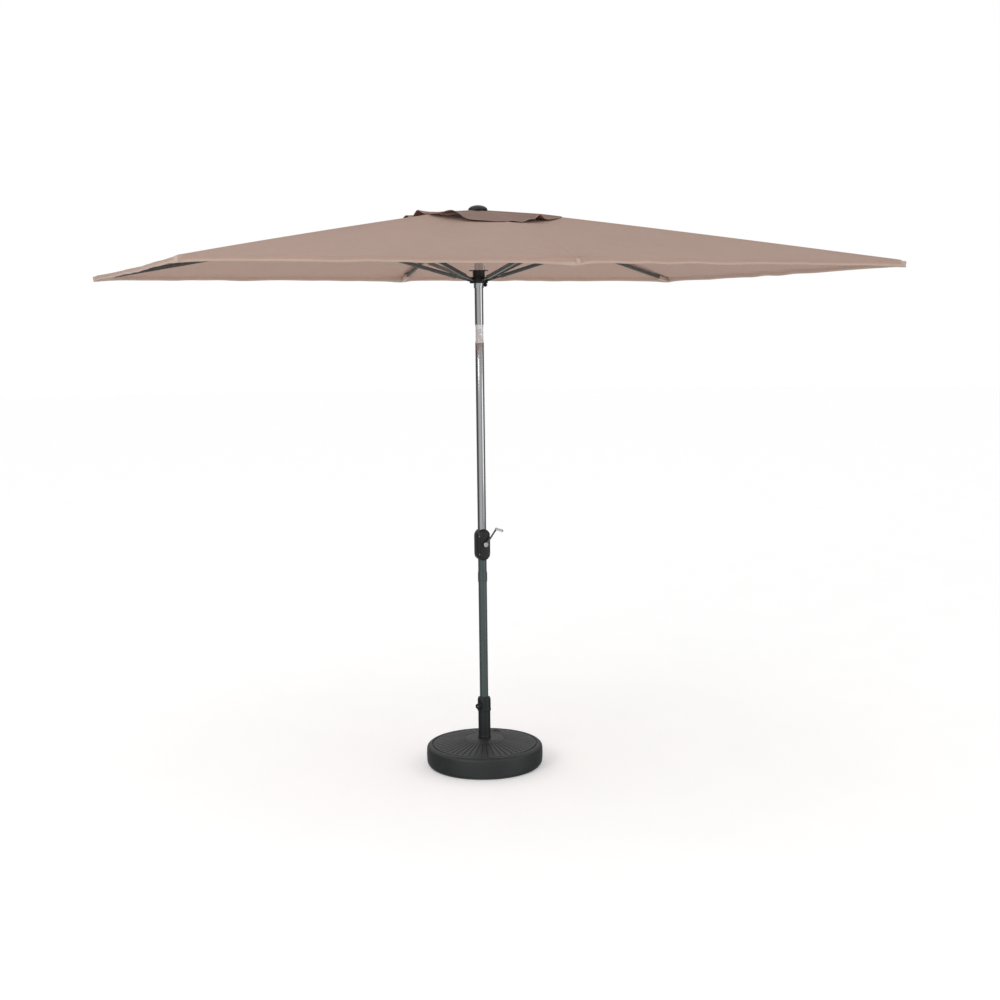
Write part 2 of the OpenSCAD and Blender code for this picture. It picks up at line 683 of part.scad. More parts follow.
module strut(i) color([0.55, 0.54, 0.53]) {
    length = norm(strut_span(i));
    foot_half = runner_slot_w / 2 + 2;
    in_strut(i) difference() {
        union() {
            along_y(eye_r, -strut_tongue_w / 2, strut_tongue_w / 2);
            block([0, -strut_tongue_w / 2, -eye_r], [strut_tongue_l + 1, strut_tongue_w / 2, eye_r]);
            block([strut_tongue_l, -rib_w / 2, -strut_h / 2], [length - strut_head_l, rib_w / 2, strut_h / 2]);
            block([length - strut_head_l - 1, -strut_tongue_w / 2, -eye_r],
                  [length, strut_tongue_w / 2, eye_r]);
            along_y(eye_r, -strut_tongue_w / 2, strut_tongue_w / 2, length);
            along_y(pin_r, -foot_half, foot_half);
        }
        along_y(pin_r + 0.06, -10, 10, length);
        block([strut_tongue_l + plug_l, -rib_w / 2 + tube_wall, -strut_h / 2 + tube_wall],
              [length - strut_head_l - plug_l, rib_w / 2 - tube_wall, strut_h / 2 - tube_wall]);
    }
}

// ---- fabric ----

side_n = 8;                      // steps across one panel
// Ring of points over the ribs and between them
function ring(share, drop, vent) = [
    for (i = [0 : rib_n - 1], k = [0 : side_n - 1])
        let (side = k / side_n,
             p = vent ? plan(share, vent_tip(i), vent_tip(i + 1), side) : plan(share, tip(i), tip(i + 1), side))
            [p[0], p[1], (vent ? vent_z(share_at(p)) : main_z(share, side)) - drop]];

module cloth(inner, outer, out_n, vent) {
    ring_n = rib_n * side_n;
    shares = [for (j = [0 : out_n]) inner + (outer - inner) * j / out_n];
    tops = [for (s = shares) each ring(s, 0, vent)];
    bottoms = [for (s = shares) each ring(s, cloth_t, vent)];
    under = len(tops);
    function at(j, k) = j * ring_n + k % ring_n;
    faces = [
        for (j = [0 : out_n - 1], k = [0 : ring_n - 1]) each [
            [at(j, k), at(j + 1, k + 1), at(j + 1, k)], [at(j, k), at(j, k + 1), at(j + 1, k + 1)],
            [under + at(j, k), under + at(j + 1, k), under + at(j + 1, k + 1)],
            [under + at(j, k), under + at(j + 1, k + 1), under + at(j, k + 1)]],
        for (k = [0 : ring_n - 1]) each [
            [at(out_n, k), at(out_n, k + 1), under + at(out_n, k + 1)],
            [at(out_n, k), under + at(out_n, k + 1), under + at(out_n, k)],
            [at(0, k + 1), at(0, k), under + at(0, k)],
            [at(0, k + 1), under + at(0, k), under + at(0, k + 1)]],
    ];
    polyhedron(points = concat(tops, bottoms), faces = faces);
}

module canopy() color([0.66, 0.58, 0.53]) cloth(vent_hole_share, 1, 10, false);
module vent_cap() color([0.58, 0.49, 0.45]) cloth(0.05, 1, 8, true);

// ---- assembly ----

base_shell();
ballast();
socket_tube();
reducer_sleeve();
locking_collar();
filler_cap();
lock_screw();
lock_knob();
lower_pole();
pole_coupling();
middle_pole();
crank_front_shell();
crank_rear_shell();
crank_screws();
crank_axle();
cord_spool();
crank_arm();
crank_grip();
tilt_fork();
tilt_pin();
tilt_button();
button_spring();
tilt_knuckle();
upper_pole();
top_hub();
hub_pins();
finial();
pulley_pin();
cord_pulley();
cord_inner();
cord_upper();
cord_lift();
runner();
cord_stop();
for (i = [0 : rib_n - 1]) {
    rib(i);
    rib_bracket(i);
    tip_cap(i);
    strut(i);
}
canopy();
vent_cap();
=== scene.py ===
"""Looks of a rectangular patio umbrella with crank, tilt joint and fillable base, round its CAD frame."""

import json
import math

import bmesh
import bpy
import numpy as np
from mathutils import Matrix, Vector


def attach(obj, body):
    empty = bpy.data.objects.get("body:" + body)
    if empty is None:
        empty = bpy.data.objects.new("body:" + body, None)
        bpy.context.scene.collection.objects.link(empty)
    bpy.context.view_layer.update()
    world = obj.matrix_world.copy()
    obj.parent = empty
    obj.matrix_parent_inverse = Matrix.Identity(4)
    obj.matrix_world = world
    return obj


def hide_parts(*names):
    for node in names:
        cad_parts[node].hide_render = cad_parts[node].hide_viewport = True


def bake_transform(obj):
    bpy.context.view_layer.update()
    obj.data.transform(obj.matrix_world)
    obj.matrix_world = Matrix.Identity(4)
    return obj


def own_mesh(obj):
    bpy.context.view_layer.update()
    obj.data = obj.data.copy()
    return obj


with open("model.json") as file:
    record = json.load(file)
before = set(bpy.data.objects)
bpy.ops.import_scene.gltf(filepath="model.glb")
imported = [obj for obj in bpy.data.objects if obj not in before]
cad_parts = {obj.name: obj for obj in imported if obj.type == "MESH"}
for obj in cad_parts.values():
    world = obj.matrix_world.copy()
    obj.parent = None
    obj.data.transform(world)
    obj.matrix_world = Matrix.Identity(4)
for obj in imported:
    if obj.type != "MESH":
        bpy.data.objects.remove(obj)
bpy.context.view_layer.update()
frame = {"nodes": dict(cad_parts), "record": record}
nodes = frame["nodes"]

# ---- dimensions in metres, most of them the CAD part's ----

HALF_X, HALF_Y = 1.5, 1.0  # half the canopy, corner to corner
PEAK_Z, TIP_Z = 2.478, 2.215  # fabric over the mast and at the rib tips
RIDGE_BOW = 0.005
CLOTH_T = 0.0014  # the CAD solid is 2 mm thick
VENT_HOLE = 0.17  # share of the way out at which the vent opening ends
VENT_REACH = {True: 0.205, False: 0.33}  # shares at which the vent cap ends, over corner and middle ribs
VENT_SINK, VENT_RISE, VENT_SETTLE = 0.008, 0.0049, 0.15
HUB_R, HUB_Z = 0.038, 2.452
RUNNER_R, RUNNER_Z = 0.042, 2.167
RUNNER_COLLAR_Z = 2.150  # below this the runner has the mast's metal
RIB_W, RIB_H, STRUT_H = 0.012, 0.018, 0.016
RIB_END_GAP, RIB_SINK, RIB_START = 0.013, 0.0123, 0.018
BRACKET_AT = {True: 0.620, False: 0.6365}  # along a corner rib and along a middle rib
BRACKET_DROP = 0.019
POLE_R = 0.019
POLE_JOIN_Z, FORK_Z, TILT_Z, UPPER_FOOT_Z, POLE_TOP_Z = 0.861, 1.897, 1.937, 1.976, 2.436
CRANK_Z, CRANK_ARM, CRANK_TURN = 1.008, 0.084, math.radians(54)
HOUSING_Z, HOUSING_W, HOUSING_H = 1.004, 0.062, 0.142
HOUSING_Y, PANEL_OUT = 0.030, 0.006
CORD_X, CORD_R, CORD_TOP_Z, CORD_END_Z = 0.029, 0.0015, 2.418, 2.153
BASE_R, RIM_H, BOSS_H, BOSS_R = 0.262, 0.098, 0.124, 0.075
GROOVES = 48
GROOVE_HALF_W, GROOVE_DEEP = 0.0018, 0.0026  # the CAD grooves are 2.4 mm wide and 1.8 mm deep
GROOVE_START, GROOVE_END = 0.086, 0.223
SOCKET_R, COLLAR_Z, COLLAR_TOP_Z = 0.02725, 0.248, 0.310
KNOB_Z, KNOB_TURN = 0.275, math.radians(212)
FILLER = (0.105, 0.127)
TIPS = [
    ("near_left", -HALF_X, -HALF_Y),
    ("near_middle", 0.0, -HALF_Y),
    ("near_right", HALF_X, -HALF_Y),
    ("far_right", HALF_X, HALF_Y),
    ("far_middle", 0.0, HALF_Y),
    ("far_left", -HALF_X, HALF_Y),
]

# ---- camera, light and floor ----

CAMERA_AT = Vector((-2.444, -6.028, 1.968))
CAMERA_LOOK = Vector((0.3847, 0.9156, -0.1170))
CAMERA_ROLL = math.radians(-0.66)


def look_matrix(at, look, roll=0.0):
    """Places a camera or light at a point, looking along a direction."""
    turn = look.to_track_quat("-Z", "Y").to_matrix().to_4x4()
    return Matrix.Translation(at) @ turn @ Matrix.Rotation(roll, 4, "Z")


def add_camera():
    data = bpy.data.cameras.new("camera")
    data.lens, data.sensor_width = 53.12, 36.0
    camera = bpy.data.objects.new("camera", data)
    bpy.context.collection.objects.link(camera)
    camera.matrix_world = look_matrix(CAMERA_AT, CAMERA_LOOK, CAMERA_ROLL)
    bpy.context.scene.camera = camera


def add_area(name, at, target, size, power):
    data = bpy.data.lights.new(name, "AREA")
    data.shape, data.size, data.size_y, data.energy = "RECTANGLE", size[0], size[1], power
    light = bpy.data.objects.new(name, data)
    bpy.context.collection.objects.link(light)
    light.matrix_world = look_matrix(Vector(at), Vector(target) - Vector(at))


# brightness of the room's walls by compass direction, from -180 degrees, as polished tubes mirror it
WALLS = (
    (-180, 0.16), (-172, 0.45), (-140, 0.62), (-100, 0.55), (-80, 0.30), (-66, 0.40), (-52, 0.85),
    (-36, 0.55), (-18, 0.14), (20, 0.12), (60, 0.45), (95, 0.40), (120, 0.10), (170, 0.08), (180, 0.16),
)


def soft_room():
    """White room; what shines in it mirrors walls of lit and unlit screens, under a bright ceiling."""
    world = bpy.data.worlds.new("studio")
    net = Net(world)
    axes = net.add("SeparateXYZ", {0: net.add("TexCoord").outputs["Generated"]})
    compass = net.math("ARCTAN2", axes.outputs["Y"], axes.outputs["X"])
    turned = net.math("ADD", net.math("DIVIDE", compass, 2 * math.pi), 0.5)
    walls = net.ramp(turned, *(((angle + 180) / 360, bright) for angle, bright in WALLS))
    up = net.ramp(axes.outputs["Z"], (0.25, 0.0), (0.6, 1.0))
    mirrored = net.mix(up, walls, [0.9, 0.9, 0.9, 1.0])
    rays = net.add("LightPath").outputs
    around = net.mix(rays["Is Camera Ray"], [0.87, 0.87, 0.87, 1.0], [1.0, 1.0, 1.0, 1.0])
    tone = net.mix(rays["Is Glossy Ray"], around, mirrored)
    back = net.add("Background", {"Color": tone, "Strength": 1.0})
    net.add("OutputWorld", {"Surface": back.outputs[0]})
    return world


def add_studio():
    bpy.context.scene.world = soft_room()
    bpy.context.scene.view_settings.view_transform = "Standard"
    add_area("key", (-5.5, -3.5, 4.2), (-0.8, 0, 2.0), (2.5, 2.5), 105)
    add_area("fill", (4.0, -5.0, 1.2), (0, 0, 1.2), (3.0, 3.0), 25)
    floor = mesh_object("studio_floor", *disc_grid(40.0))
    floor.data.materials.append(plain_floor())


# ---- mesh helpers ----

SHARP = math.radians(38)


def mesh_object(name, points, faces, looks=(), picks=None):
    """Makes a mesh object from points and faces; picks gives each face's material."""
    mesh = bpy.data.meshes.new(name)
    mesh.from_pydata([tuple(p) for p in points], [], [tuple(f) for f in faces])
    for material in looks:
        mesh.materials.append(LOOKS[material])
    if picks is not None:
        mesh.polygons.foreach_set("material_index", np.asarray(picks, np.int32))
    mesh.polygons.foreach_set("use_smooth", np.ones(len(mesh.polygons), bool))
    mesh.update()
    mesh.set_sharp_from_angle(angle=SHARP)
    piece = bpy.data.objects.new(name, mesh)
    bpy.context.collection.objects.link(piece)
    return piece


def disc_grid(radius, count=48):
    turn = 2 * math.pi / count
    points = [(0.0, 0.0, 0.0)]
    points += [(radius * math.cos(k * turn), radius * math.sin(k * turn), 0.0) for k in range(count)]
    return points, [(0, 1 + k, 1 + (k + 1) % count) for k in range(count)]


def fillet(corners, steps=5):
    """Rounds the corners of a profile: each corner is (r, z) or (r, z, radius)."""
    line = []
    for k, corner in enumerate(corners):
        here = Vector(corner[:2])
        if len(corner) == 2 or k in (0, len(corners) - 1):
            line.append(here)
            continue
        back = Vector(corners[k - 1][:2]) - here
        ahead = Vector(corners[k + 1][:2]) - here
        reach = min(corner[2], 0.48 * back.length, 0.48 * ahead.length)
        start, end = here + back.normalized() * reach, here + ahead.normalized() * reach
        for j in range(steps + 1):
            t = j / steps
            line.append(start * (1 - t) ** 2 + here * 2 * t * (1 - t) + end * t * t)
    return line


def join_shapes(*shapes):
    """Puts (points, faces, pick) shapes into one list of points, faces and material picks."""
    points, faces, picks = [], [], []
    for more_points, more_faces, pick in shapes:
        base = len(points)
        points += [Vector(p) for p in more_points]
        faces += [[base + v for v in face] for face in more_faces]
        picks += [pick] * len(more_faces)
    return points, faces, picks


def turned(profile, place=None, count=64, pick=0, wobble=None):
    """Shape of a profile turned about Z. A profile end on the axis closes there; else the ends meet."""
    place = place or Matrix.Identity(4)
    points, faces = [], []
    rows = []
    for r, z in profile:
        if r < 1e-7:
            rows.append([len(points)])
            points.append(place @ Vector((0, 0, z)))
            continue
        rows.append(list(range(len(points), len(points) + count)))
        for k in range(count):
            angle = 2 * math.pi * k / count
            wide = r * (wobble(angle, z) if wobble else 1.0)
            points.append(place @ Vector((wide * math.cos(angle), wide * math.sin(angle), z)))
    pairs = list(zip(rows, rows[1:]))
    if len(rows[0]) > 1 and len(rows[-1]) > 1:
        pairs.append((rows[-1], rows[0]))
    for low, high in pairs:
        for k in range(count):
            n = (k + 1) % count
            a, b = low[k % len(low)], low[n % len(low)]
            c, d = high[n % len(high)], high[k % len(high)]
            face = [v for j, v in enumerate((a, b, c, d)) if v not in (a, b, c, d)[:j]]
            if len(face) > 2:
                faces.append(face)
    return points, faces, pick


def loft(rings, place=None, pick=0):
    """Shape through rings of equal count, closed at both ends."""
    place = place or Matrix.Identity(4)
    count = len(rings[0])
    points = [place @ Vector(p) for ring in rings for p in ring]
    faces = [list(range(count))[::-1], [len(points) - count + k for k in range(count)]]
    for j in range(len(rings) - 1):
        for k in range(count):
            n = (k + 1) % count
            faces.append([j * count + k, j * count + n, (j + 1) * count + n, (j + 1) * count + k])
    return points, faces, pick


def oblong(half_w, half_h, radius, at=0.0, shift=0.0, steps=5):
    """Ring of a rectangle with round corners in the YZ plane at x = at."""
    radius = min(radius, half_w * 0.999, half_h * 0.999)
    ring = []
    for sy, sz, start in ((1, 1, 0), (-1, 1, 90), (-1, -1, 180), (1, -1, 270)):
        for j in range(steps + 1):
            angle = math.radians(start + 90 * j / steps)
            ring.append((at, sy * (half_w - radius) + radius * math.cos(angle),
                         shift + sz * (half_h - radius) + radius * math.sin(angle)))
    return ring


def facing(x=0.0, y=0.0, z=0.0, axis=(0, 0, 1)):
    """Frame at a point whose Z axis points along axis."""
    turn = Vector(axis).to_track_quat("Z", "Y").to_matrix().to_4x4()
    return Matrix.Translation((x, y, z)) @ turn


def piece_of(name, body, slot, node, *shapes, looks=None):
    """Makes one piece of shapes, that rides on a body and stands for a CAD node."""
    points, faces, picks = join_shapes(*shapes)
    piece = mesh_object(name, points, faces, looks or (slot,), picks)
    bm = bmesh.new()
    bm.from_mesh(piece.data)
    bmesh.ops.recalc_face_normals(bm, faces=bm.faces)
    bm.to_mesh(piece.data)
    bm.free()
    piece.data.set_sharp_from_angle(angle=SHARP)
    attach(piece, body)
    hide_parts(node)
    return piece


def copy_of(node, name, body, slot):
    """A piece with a copy of a CAD node's mesh, which rides on its body and stands for it."""
    piece = bpy.data.objects.new(name, nodes[node].data.copy())
    bpy.context.collection.objects.link(piece)
    piece.data.materials.clear()
    piece.data.materials.append(LOOKS[slot])
    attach(piece, body)
    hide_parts(node)
    return piece


def all_smooth(piece):
    piece.data.polygons.foreach_set("use_smooth", np.ones(len(piece.data.polygons), bool))


def soften(node, body, slot, width, collar=None):
    """A copy of a CAD node with rounded edges stands for it. collar is (height, look of what is below)."""
    piece = copy_of(node, f"{node}_soft", body, slot)
    bm = bmesh.new()
    bm.from_mesh(piece.data)
    bmesh.ops.remove_doubles(bm, verts=bm.verts, dist=2e-5)
    bmesh.ops.dissolve_limit(bm, angle_limit=math.radians(2), verts=bm.verts, edges=bm.edges)
    bm.to_mesh(piece.data)
    bm.free()
    if collar:
        piece.data.materials.append(LOOKS[collar[1]])
        for polygon in piece.data.polygons:
            polygon.material_index = int((piece.matrix_world @ polygon.center).z < collar[0])
    all_smooth(piece)
    bevel = piece.modifiers.new("round", "BEVEL")
    bevel.width, bevel.segments, bevel.limit_method = width, 2, "ANGLE"
    bevel.angle_limit, bevel.use_clamp_overlap, bevel.harden_normals = math.radians(35), True, True


# ---- materials ----


def linear(red, green, blue):
    """An sRGB colour of 0 to 255 as the linear colour of a shader."""
    scaled = [c / 255 for c in (red, green, blue)]
    return [c / 12.92 if c <= 0.04045 else ((c + 0.055) / 1.055) ** 2.4 for c in scaled] + [1.0]


class Net:
    """Builds the node tree of a new material of this name, or of a world."""

    def __init__(self, owner):
        self.owner = bpy.data.materials.new(owner) if isinstance(owner, str) else owner
        self.owner.use_nodes = True
        self.tree = self.owner.node_tree
        self.tree.nodes.clear()

    def add(self, kind, inputs=None, **settings):
        node = self.tree.nodes.new("ShaderNode" + kind)
        for key, value in settings.items():
            setattr(node, key, value)
        for key, value in (inputs or {}).items():
            if isinstance(value, bpy.types.NodeSocket):
                self.tree.links.new(value, node.inputs[key])
            else:
                node.inputs[key].default_value = value
        return node

    def place(self, scale=(1.0, 1.0, 1.0), turn=(0.0, 0.0, 0.0)):
        """Object coordinates, stretched and turned."""
        source = self.add("TexCoord").outputs["Object"]
        return self.add("Mapping", {"Vector": source, "Scale": scale, "Rotation": turn}).outputs[0]

    def noise(self, at, scale, detail=3.0, rough=0.5):
        inputs = {"Vector": at, "Scale": scale, "Detail": detail, "Roughness": rough}
        return self.add("TexNoise", inputs).outputs["Fac"]

    def ramp(self, fac, *stops):
        """Colour ramp of (position, colour) stops; a number stands for a grey."""
        node = self.add("ValToRGB", {"Fac": fac})
        elements = node.color_ramp.elements
        while len(elements) < len(stops):
            elements.new(0.5)
        for element, (position, value) in zip(elements, stops):
            element.position = position
            element.color = value if isinstance(value, list) else [value] * 3 + [1.0]
        return node.outputs["Color"]

    def math(self, what, a, b=0.0):
        return self.add("Math", {0: a, 1: b}, operation=what).outputs[0]

    def mix(self, fac, a, b):
        node = self.add("Mix", {"Factor": fac}, data_type="RGBA")
        for key, value in ((6, a), (7, b)):
            if isinstance(value, bpy.types.NodeSocket):
                self.tree.links.new(value, node.inputs[key])
            else:
                node.inputs[key].default_value = value
        return node.outputs[2]

    def bump(self, height, depth, strength=1.0, below=None):
        inputs = {"Height": height, "Distance": depth, "Strength": strength}
        if below is not None:
            inputs["Normal"] = below
        return self.add("Bump", inputs).outputs[0]

    def finish(self, **inputs):
        shader = self.add("BsdfPrincipled", {key.replace("_", " "): v for key, v in inputs.items()})
        return self.close(shader.outputs[0])

    def close(self, socket):
        self.add("OutputMaterial", {"Surface": socket})
        return self.owner


def plain_floor():
    net = Net("floor_matt")
    speck = net.noise(net.place(), 3.0)
    tone = net.ramp(speck, (0.3, 0.90), (0.7, 0.92))
    matt = net.add("BsdfPrincipled", {
        "Base Color": tone, "Roughness": 0.9, "Specular IOR Level": 0.0,
        "Emission Color": [1.0, 1.0, 1.0, 1.0], "Emission Strength": 0.20,
    }).outputs[0]
    clear = net.add("BsdfTransparent").outputs[0]
    mirrored = net.add("LightPath").outputs["Is Glossy Ray"]
    return net.close(net.add("MixShader", {0: mirrored, 1: matt, 2: clear}).outputs[0])


def shade(colour, factor):
    return [c * factor for c in colour[:3]] + [1.0]


def moulded(name, colour, rough):
    """Moulded or blown plastic: fine spark-eroded grain, slow tonal drift and a few rubbed places."""
    net = Net(name)
    at = net.place()
    drift = net.noise(at, 9.0, 2.0)
    fine = net.noise(at, 1200.0, 2.0, 0.7)
    rub = net.ramp(net.noise(at, 45.0, 5.0, 0.7), (0.52, 0.0), (0.75, 1.0))
    tone = net.mix(drift, shade(colour, 0.88), shade(colour, 1.12))
    tone = net.mix(net.math("MULTIPLY", rub, 0.18), tone, shade(colour, 1.7))
    roughness = net.math("ADD", rough - 0.06, net.math("MULTIPLY", drift, 0.12))
    normal = net.bump(fine, 0.00012, 0.8)
    return net.finish(Base_Color=tone, Roughness=roughness, Normal=normal, Specular_IOR_Level=0.4)


def painted_tube(name, colour, rough, metal, flake=0.10, along=(1.0, 1.0, 0.03), coat=0.0):
    """Painted or brushed metal: long drawing marks along the tube over small flakes."""
    net = Net(name)
    at = net.place()
    lines = net.noise(net.place(along), 700.0, 3.0, 0.6)
    flakes = net.noise(at, 2600.0, 1.0)
    drift = net.noise(net.place((1.0, 1.0, 0.25)), 14.0, 2.0)
    worn = net.ramp(net.noise(at, 60.0, 6.0, 0.75), (0.60, 0.0), (0.72, 1.0))
    tone = net.mix(lines, shade(colour, 1 - flake), shade(colour, 1 + flake))
    tone = net.mix(net.math("MULTIPLY", worn, 0.10), tone, shade(colour, 1.5))
    roughness = net.math("ADD", rough - 0.05, net.math("MULTIPLY", drift, 0.10))
    normal = net.bump(flakes, 0.00001, 0.4, net.bump(lines, 0.000012, 0.4))
    return net.finish(
        Base_Color=tone, Roughness=roughness, Metallic=metal, Normal=normal,
        Coat_Weight=coat, Coat_Roughness=0.12,
    )


def braided(name, colour):
    """Braided cord: two sets of strands that wind round it in opposite ways."""
    net = Net(name)
    at = net.place()
    strands = []
    for turn in (0.7, -0.7):
        wave = net.add("TexWave", {"Vector": net.place((1, 1, 1), (0, turn, 0)), "Scale": 260.0,
                                   "Distortion": 0.6}, wave_type="BANDS", bands_direction="Z")
        strands.append(wave.outputs["Fac"])
    height = net.math("MAXIMUM", *strands)
    fuzz = net.noise(at, 1800.0)
    # painted shade: the cord is darker in the hollows between its strands
    tone = net.mix(height, shade(colour, 0.72), colour)
    tone = net.mix(net.math("MULTIPLY", fuzz, 0.2), tone, shade(colour, 0.8))
    return net.finish(Base_Color=tone, Roughness=0.8, Normal=net.bump(height, 0.0003, 0.8))


def granular(name, colour):
    """Sand fill."""
    net = Net(name)
    grains = net.add("TexVoronoi", {"Vector": net.place(), "Scale": 900.0})
    tone = net.ramp(grains.outputs["Color"], (0.0, shade(colour, 0.7)), (1.0, shade(colour, 1.2)))
    return net.finish(Base_Color=tone, Roughness=0.9, Normal=net.bump(grains.outputs["Distance"], 0.001))


WEAVE_PITCH = 0.0008  # threads of the canvas


def canvas(name, colour):
    """Coated polyester: plain weave, slubs both ways, slow fading, and some light comes through."""
    net = Net(name)
    at = net.place()
    threads = []
    for direction, stretch in (("X", (1.0, 0.03, 0.03)), ("Y", (0.03, 1.0, 0.03))):
        wave = net.add("TexWave", {"Vector": at, "Scale": 0.314 / WEAVE_PITCH, "Distortion": 0.8,
                                   "Detail": 1.0, "Detail Scale": 40.0},
                       wave_type="BANDS", bands_direction=direction)
        slub = net.noise(net.place(stretch), 420.0, 2.0)
        threads.append((wave.outputs["Fac"], slub))
    weave = net.math("MULTIPLY", threads[0][0], threads[1][0])
    slubs = net.math("MULTIPLY", threads[0][1], threads[1][1])
    cloud = net.noise(at, 2.3, 4.0, 0.55)
    blotch = net.noise(at, 17.0, 4.0, 0.6)
    # painted shade: the cloth is darker in the hollows between its threads
    tone = net.mix(net.ramp(weave, (0.0, 0.0), (1.0, 1.0)), shade(colour, 0.90), shade(colour, 1.06))
    tone = net.mix(net.ramp(slubs, (0.12, 0.0), (0.45, 0.5)), tone, shade(colour, 1.16))
    tone = net.mix(net.ramp(cloud, (0.35, 0.0), (0.7, 0.35)), tone, shade(colour, 0.86))
    tone = net.mix(net.ramp(blotch, (0.45, 0.0), (0.8, 0.25)), tone, shade(colour, 1.10))
    roughness = net.math("ADD", 0.62, net.math("MULTIPLY", blotch, 0.16))
    soft = net.bump(net.noise(at, 30.0, 3.0, 0.55), 0.0011, 0.5)
    normal = net.bump(weave, 0.00018, 0.7, soft)
    shader = net.add("BsdfPrincipled", {
        "Base Color": tone, "Roughness": roughness, "Normal": normal,
        "Sheen Weight": 0.08, "Sheen Roughness": 0.45, "Specular IOR Level": 0.3,
    }).outputs[0]
    through = net.add("BsdfTranslucent", {"Color": tone, "Normal": normal}).outputs[0]
    return net.close(net.add("MixShader", {0: 0.16, 1: shader, 2: through}).outputs[0])


# by material slot of the record, and after those the other looks of the cloth
LOOKS = {
    "base_plastic": moulded("base_plastic_look", linear(41, 43, 43), 0.45),
    "ballast_fill": granular("ballast_look", linear(160, 140, 110)),
    "socket_plastic": moulded("socket_look", linear(29, 34, 35), 0.42),
    "black_plastic": moulded("black_plastic_look", linear(26, 27, 28), 0.38),
    "bright_steel": painted_tube("bright_steel_look", linear(205, 205, 205), 0.25, 1.0),
    "mast_paint": painted_tube("mast_paint_look", linear(72, 84, 83), 0.30, 0.35, coat=0.35),
    "mast_metal": painted_tube("mast_metal_look", linear(205, 206, 208), 0.16, 1.0, flake=0.04, coat=0.2),
    "housing_plastic": moulded("housing_look", linear(33, 34, 35), 0.34),
    "white_plastic": moulded("white_plastic_look", linear(222, 222, 214), 0.45),
    "grip_plastic": moulded("grip_look", linear(200, 200, 198), 0.42),
    "tilt_metal": painted_tube("tilt_metal_look", linear(238, 239, 240), 0.34, 0.45, flake=0.03),
    "cord": braided("cord_look", linear(235, 234, 228)),
    "canopy_fabric": canvas("canvas_look", linear(186, 157, 143)),
    "rib_paint": painted_tube(
        "rib_paint_look", linear(88, 94, 93), 0.26, 0.6, along=(0.05, 0.05, 1.0), coat=0.5),
    "hem": canvas("hem_look", linear(196, 174, 161)),
    "vent": canvas("vent_look", linear(144, 113, 100)),
    "vent_hem": canvas("vent_hem_look", linear(178, 148, 134)),
}


# ---- fabric ----

SEAM_H, SEAM_W = 0.0016, 0.007  # ridge that a seam makes over its rib
LIP_W = 0.012  # of the plan, over which the hem turns down
LIP_H, LIP_CORNER_H, END_LIP_H = 0.017, 0.009, 0.001  # its fall, and how much more at tips and short ends
HEM_W = 0.020
RING_SPLIT = 0.42  # share of the way out at which the canopy's two rings meet
VENT_SPLITS = (0.12, 0.24, 0.58, 1.0)
VENT_DEEP = 0.30  # mast to the edge of the vent cap's short ends, about; stands for its long sides too
SAG = {"end": 0.004, "side": 0.018}  # of the cloth between the ribs of a short end and of a long side


def spans(x, y):
    """Share of the way out, place between two ribs (0 on a rib, 1 half way), and if in a long side."""
    ax, ay = np.abs(x) / HALF_X, np.abs(y) / HALF_Y
    share = np.maximum(np.maximum(ax, ay), 1e-6)
    in_side = ay >= ax
    part = np.where(in_side, ax / share, (y / (HALF_Y * share) + 1) / 2)
    return share, np.clip(4 * part * (1 - part), 0, 1), in_side


def ridge_z(share):
    return PEAK_Z - (PEAK_Z - TIP_Z) * share + RIDGE_BOW * 4 * share * (1 - share)


def slack(share, between, in_side):
    return np.where(in_side, SAG["side"], SAG["end"]) * between * 4 * share * (1 - share)


def fabric_z(x, y):
    """Height of the canopy's middle surface over a point of the plan."""
    share, between, in_side = spans(x, y)
    z = ridge_z(share) - slack(share, between, in_side)
    z = z - np.where(in_side, 0.0, 0.006) * between * share**3
    # loose cloth: long shallow folds that run out from the hub, and short ones along the hem
    fan = np.arctan2(y, x)
    z = z + 0.0014 * between * share * np.sin(23 * fan + 3 * np.sin(5 * fan))
    hem = np.clip((share - 0.72) / 0.28, 0, 1) ** 2
    z = z + 0.0009 * hem * between * np.sin(31 * (x + 0.7 * y) + 2.1 * np.sin(7 * x - 5 * y))
    # pull lines that run out of each tip, strongest where a middle rib's tip pockets the cloth
    corner = np.zeros_like(z)
    for _, tip_x, tip_y in TIPS:
        # the seam over the rib
        off = np.abs(x * tip_y - y * tip_x) / math.hypot(tip_x, tip_y)
        z = z + SEAM_H * np.exp(-((off / SEAM_W) ** 2)) * (x * tip_x + y * tip_y > 0)
        reach = np.hypot(x - tip_x, y - tip_y)
        aim = np.arctan2(y - tip_y, x - tip_x)
        strong = 0.0042 if tip_x == 0 else 0.0015
        z = z + strong * np.exp(-reach / 0.16) * np.sin(15 * aim + 1.3) * np.clip(reach / 0.04, 0, 1)
        corner = corner + np.exp(-reach / 0.06)
    # the hem turns down
    deep = np.where(in_side, HALF_Y, HALF_X)
    turn = np.clip(1 - (1 - share) * deep / LIP_W, 0, 1)
    lip = LIP_H + LIP_CORNER_H * corner + np.where(in_side, 0.0, END_LIP_H) * np.sqrt(between)
    return z - lip * (0.35 * turn + 0.65 * turn**2)


# where the vent cap's loose edge stands up: compass angle in degrees, width in degrees, height
VENT_FOLDS = (
    (-164, 9, 0.026), (-132, 9, 0.034), (-116, 5, 0.004), (-66, 6, 0.008), (-55, 5, 0.028),
    (-14, 10, 0.014), (12, 7, 0.010), (50, 8, 0.014), (68, 5, 0.008), (112, 8, 0.013), (135, 6, 0.010),
    (168, 8, 0.012),
)


def canopy_tip(k):
    return TIPS[k % len(TIPS)][1:]


def vent_tip(k):
    x, y = canopy_tip(k)
    reach = VENT_REACH[x != 0]
    return x * reach, y * reach


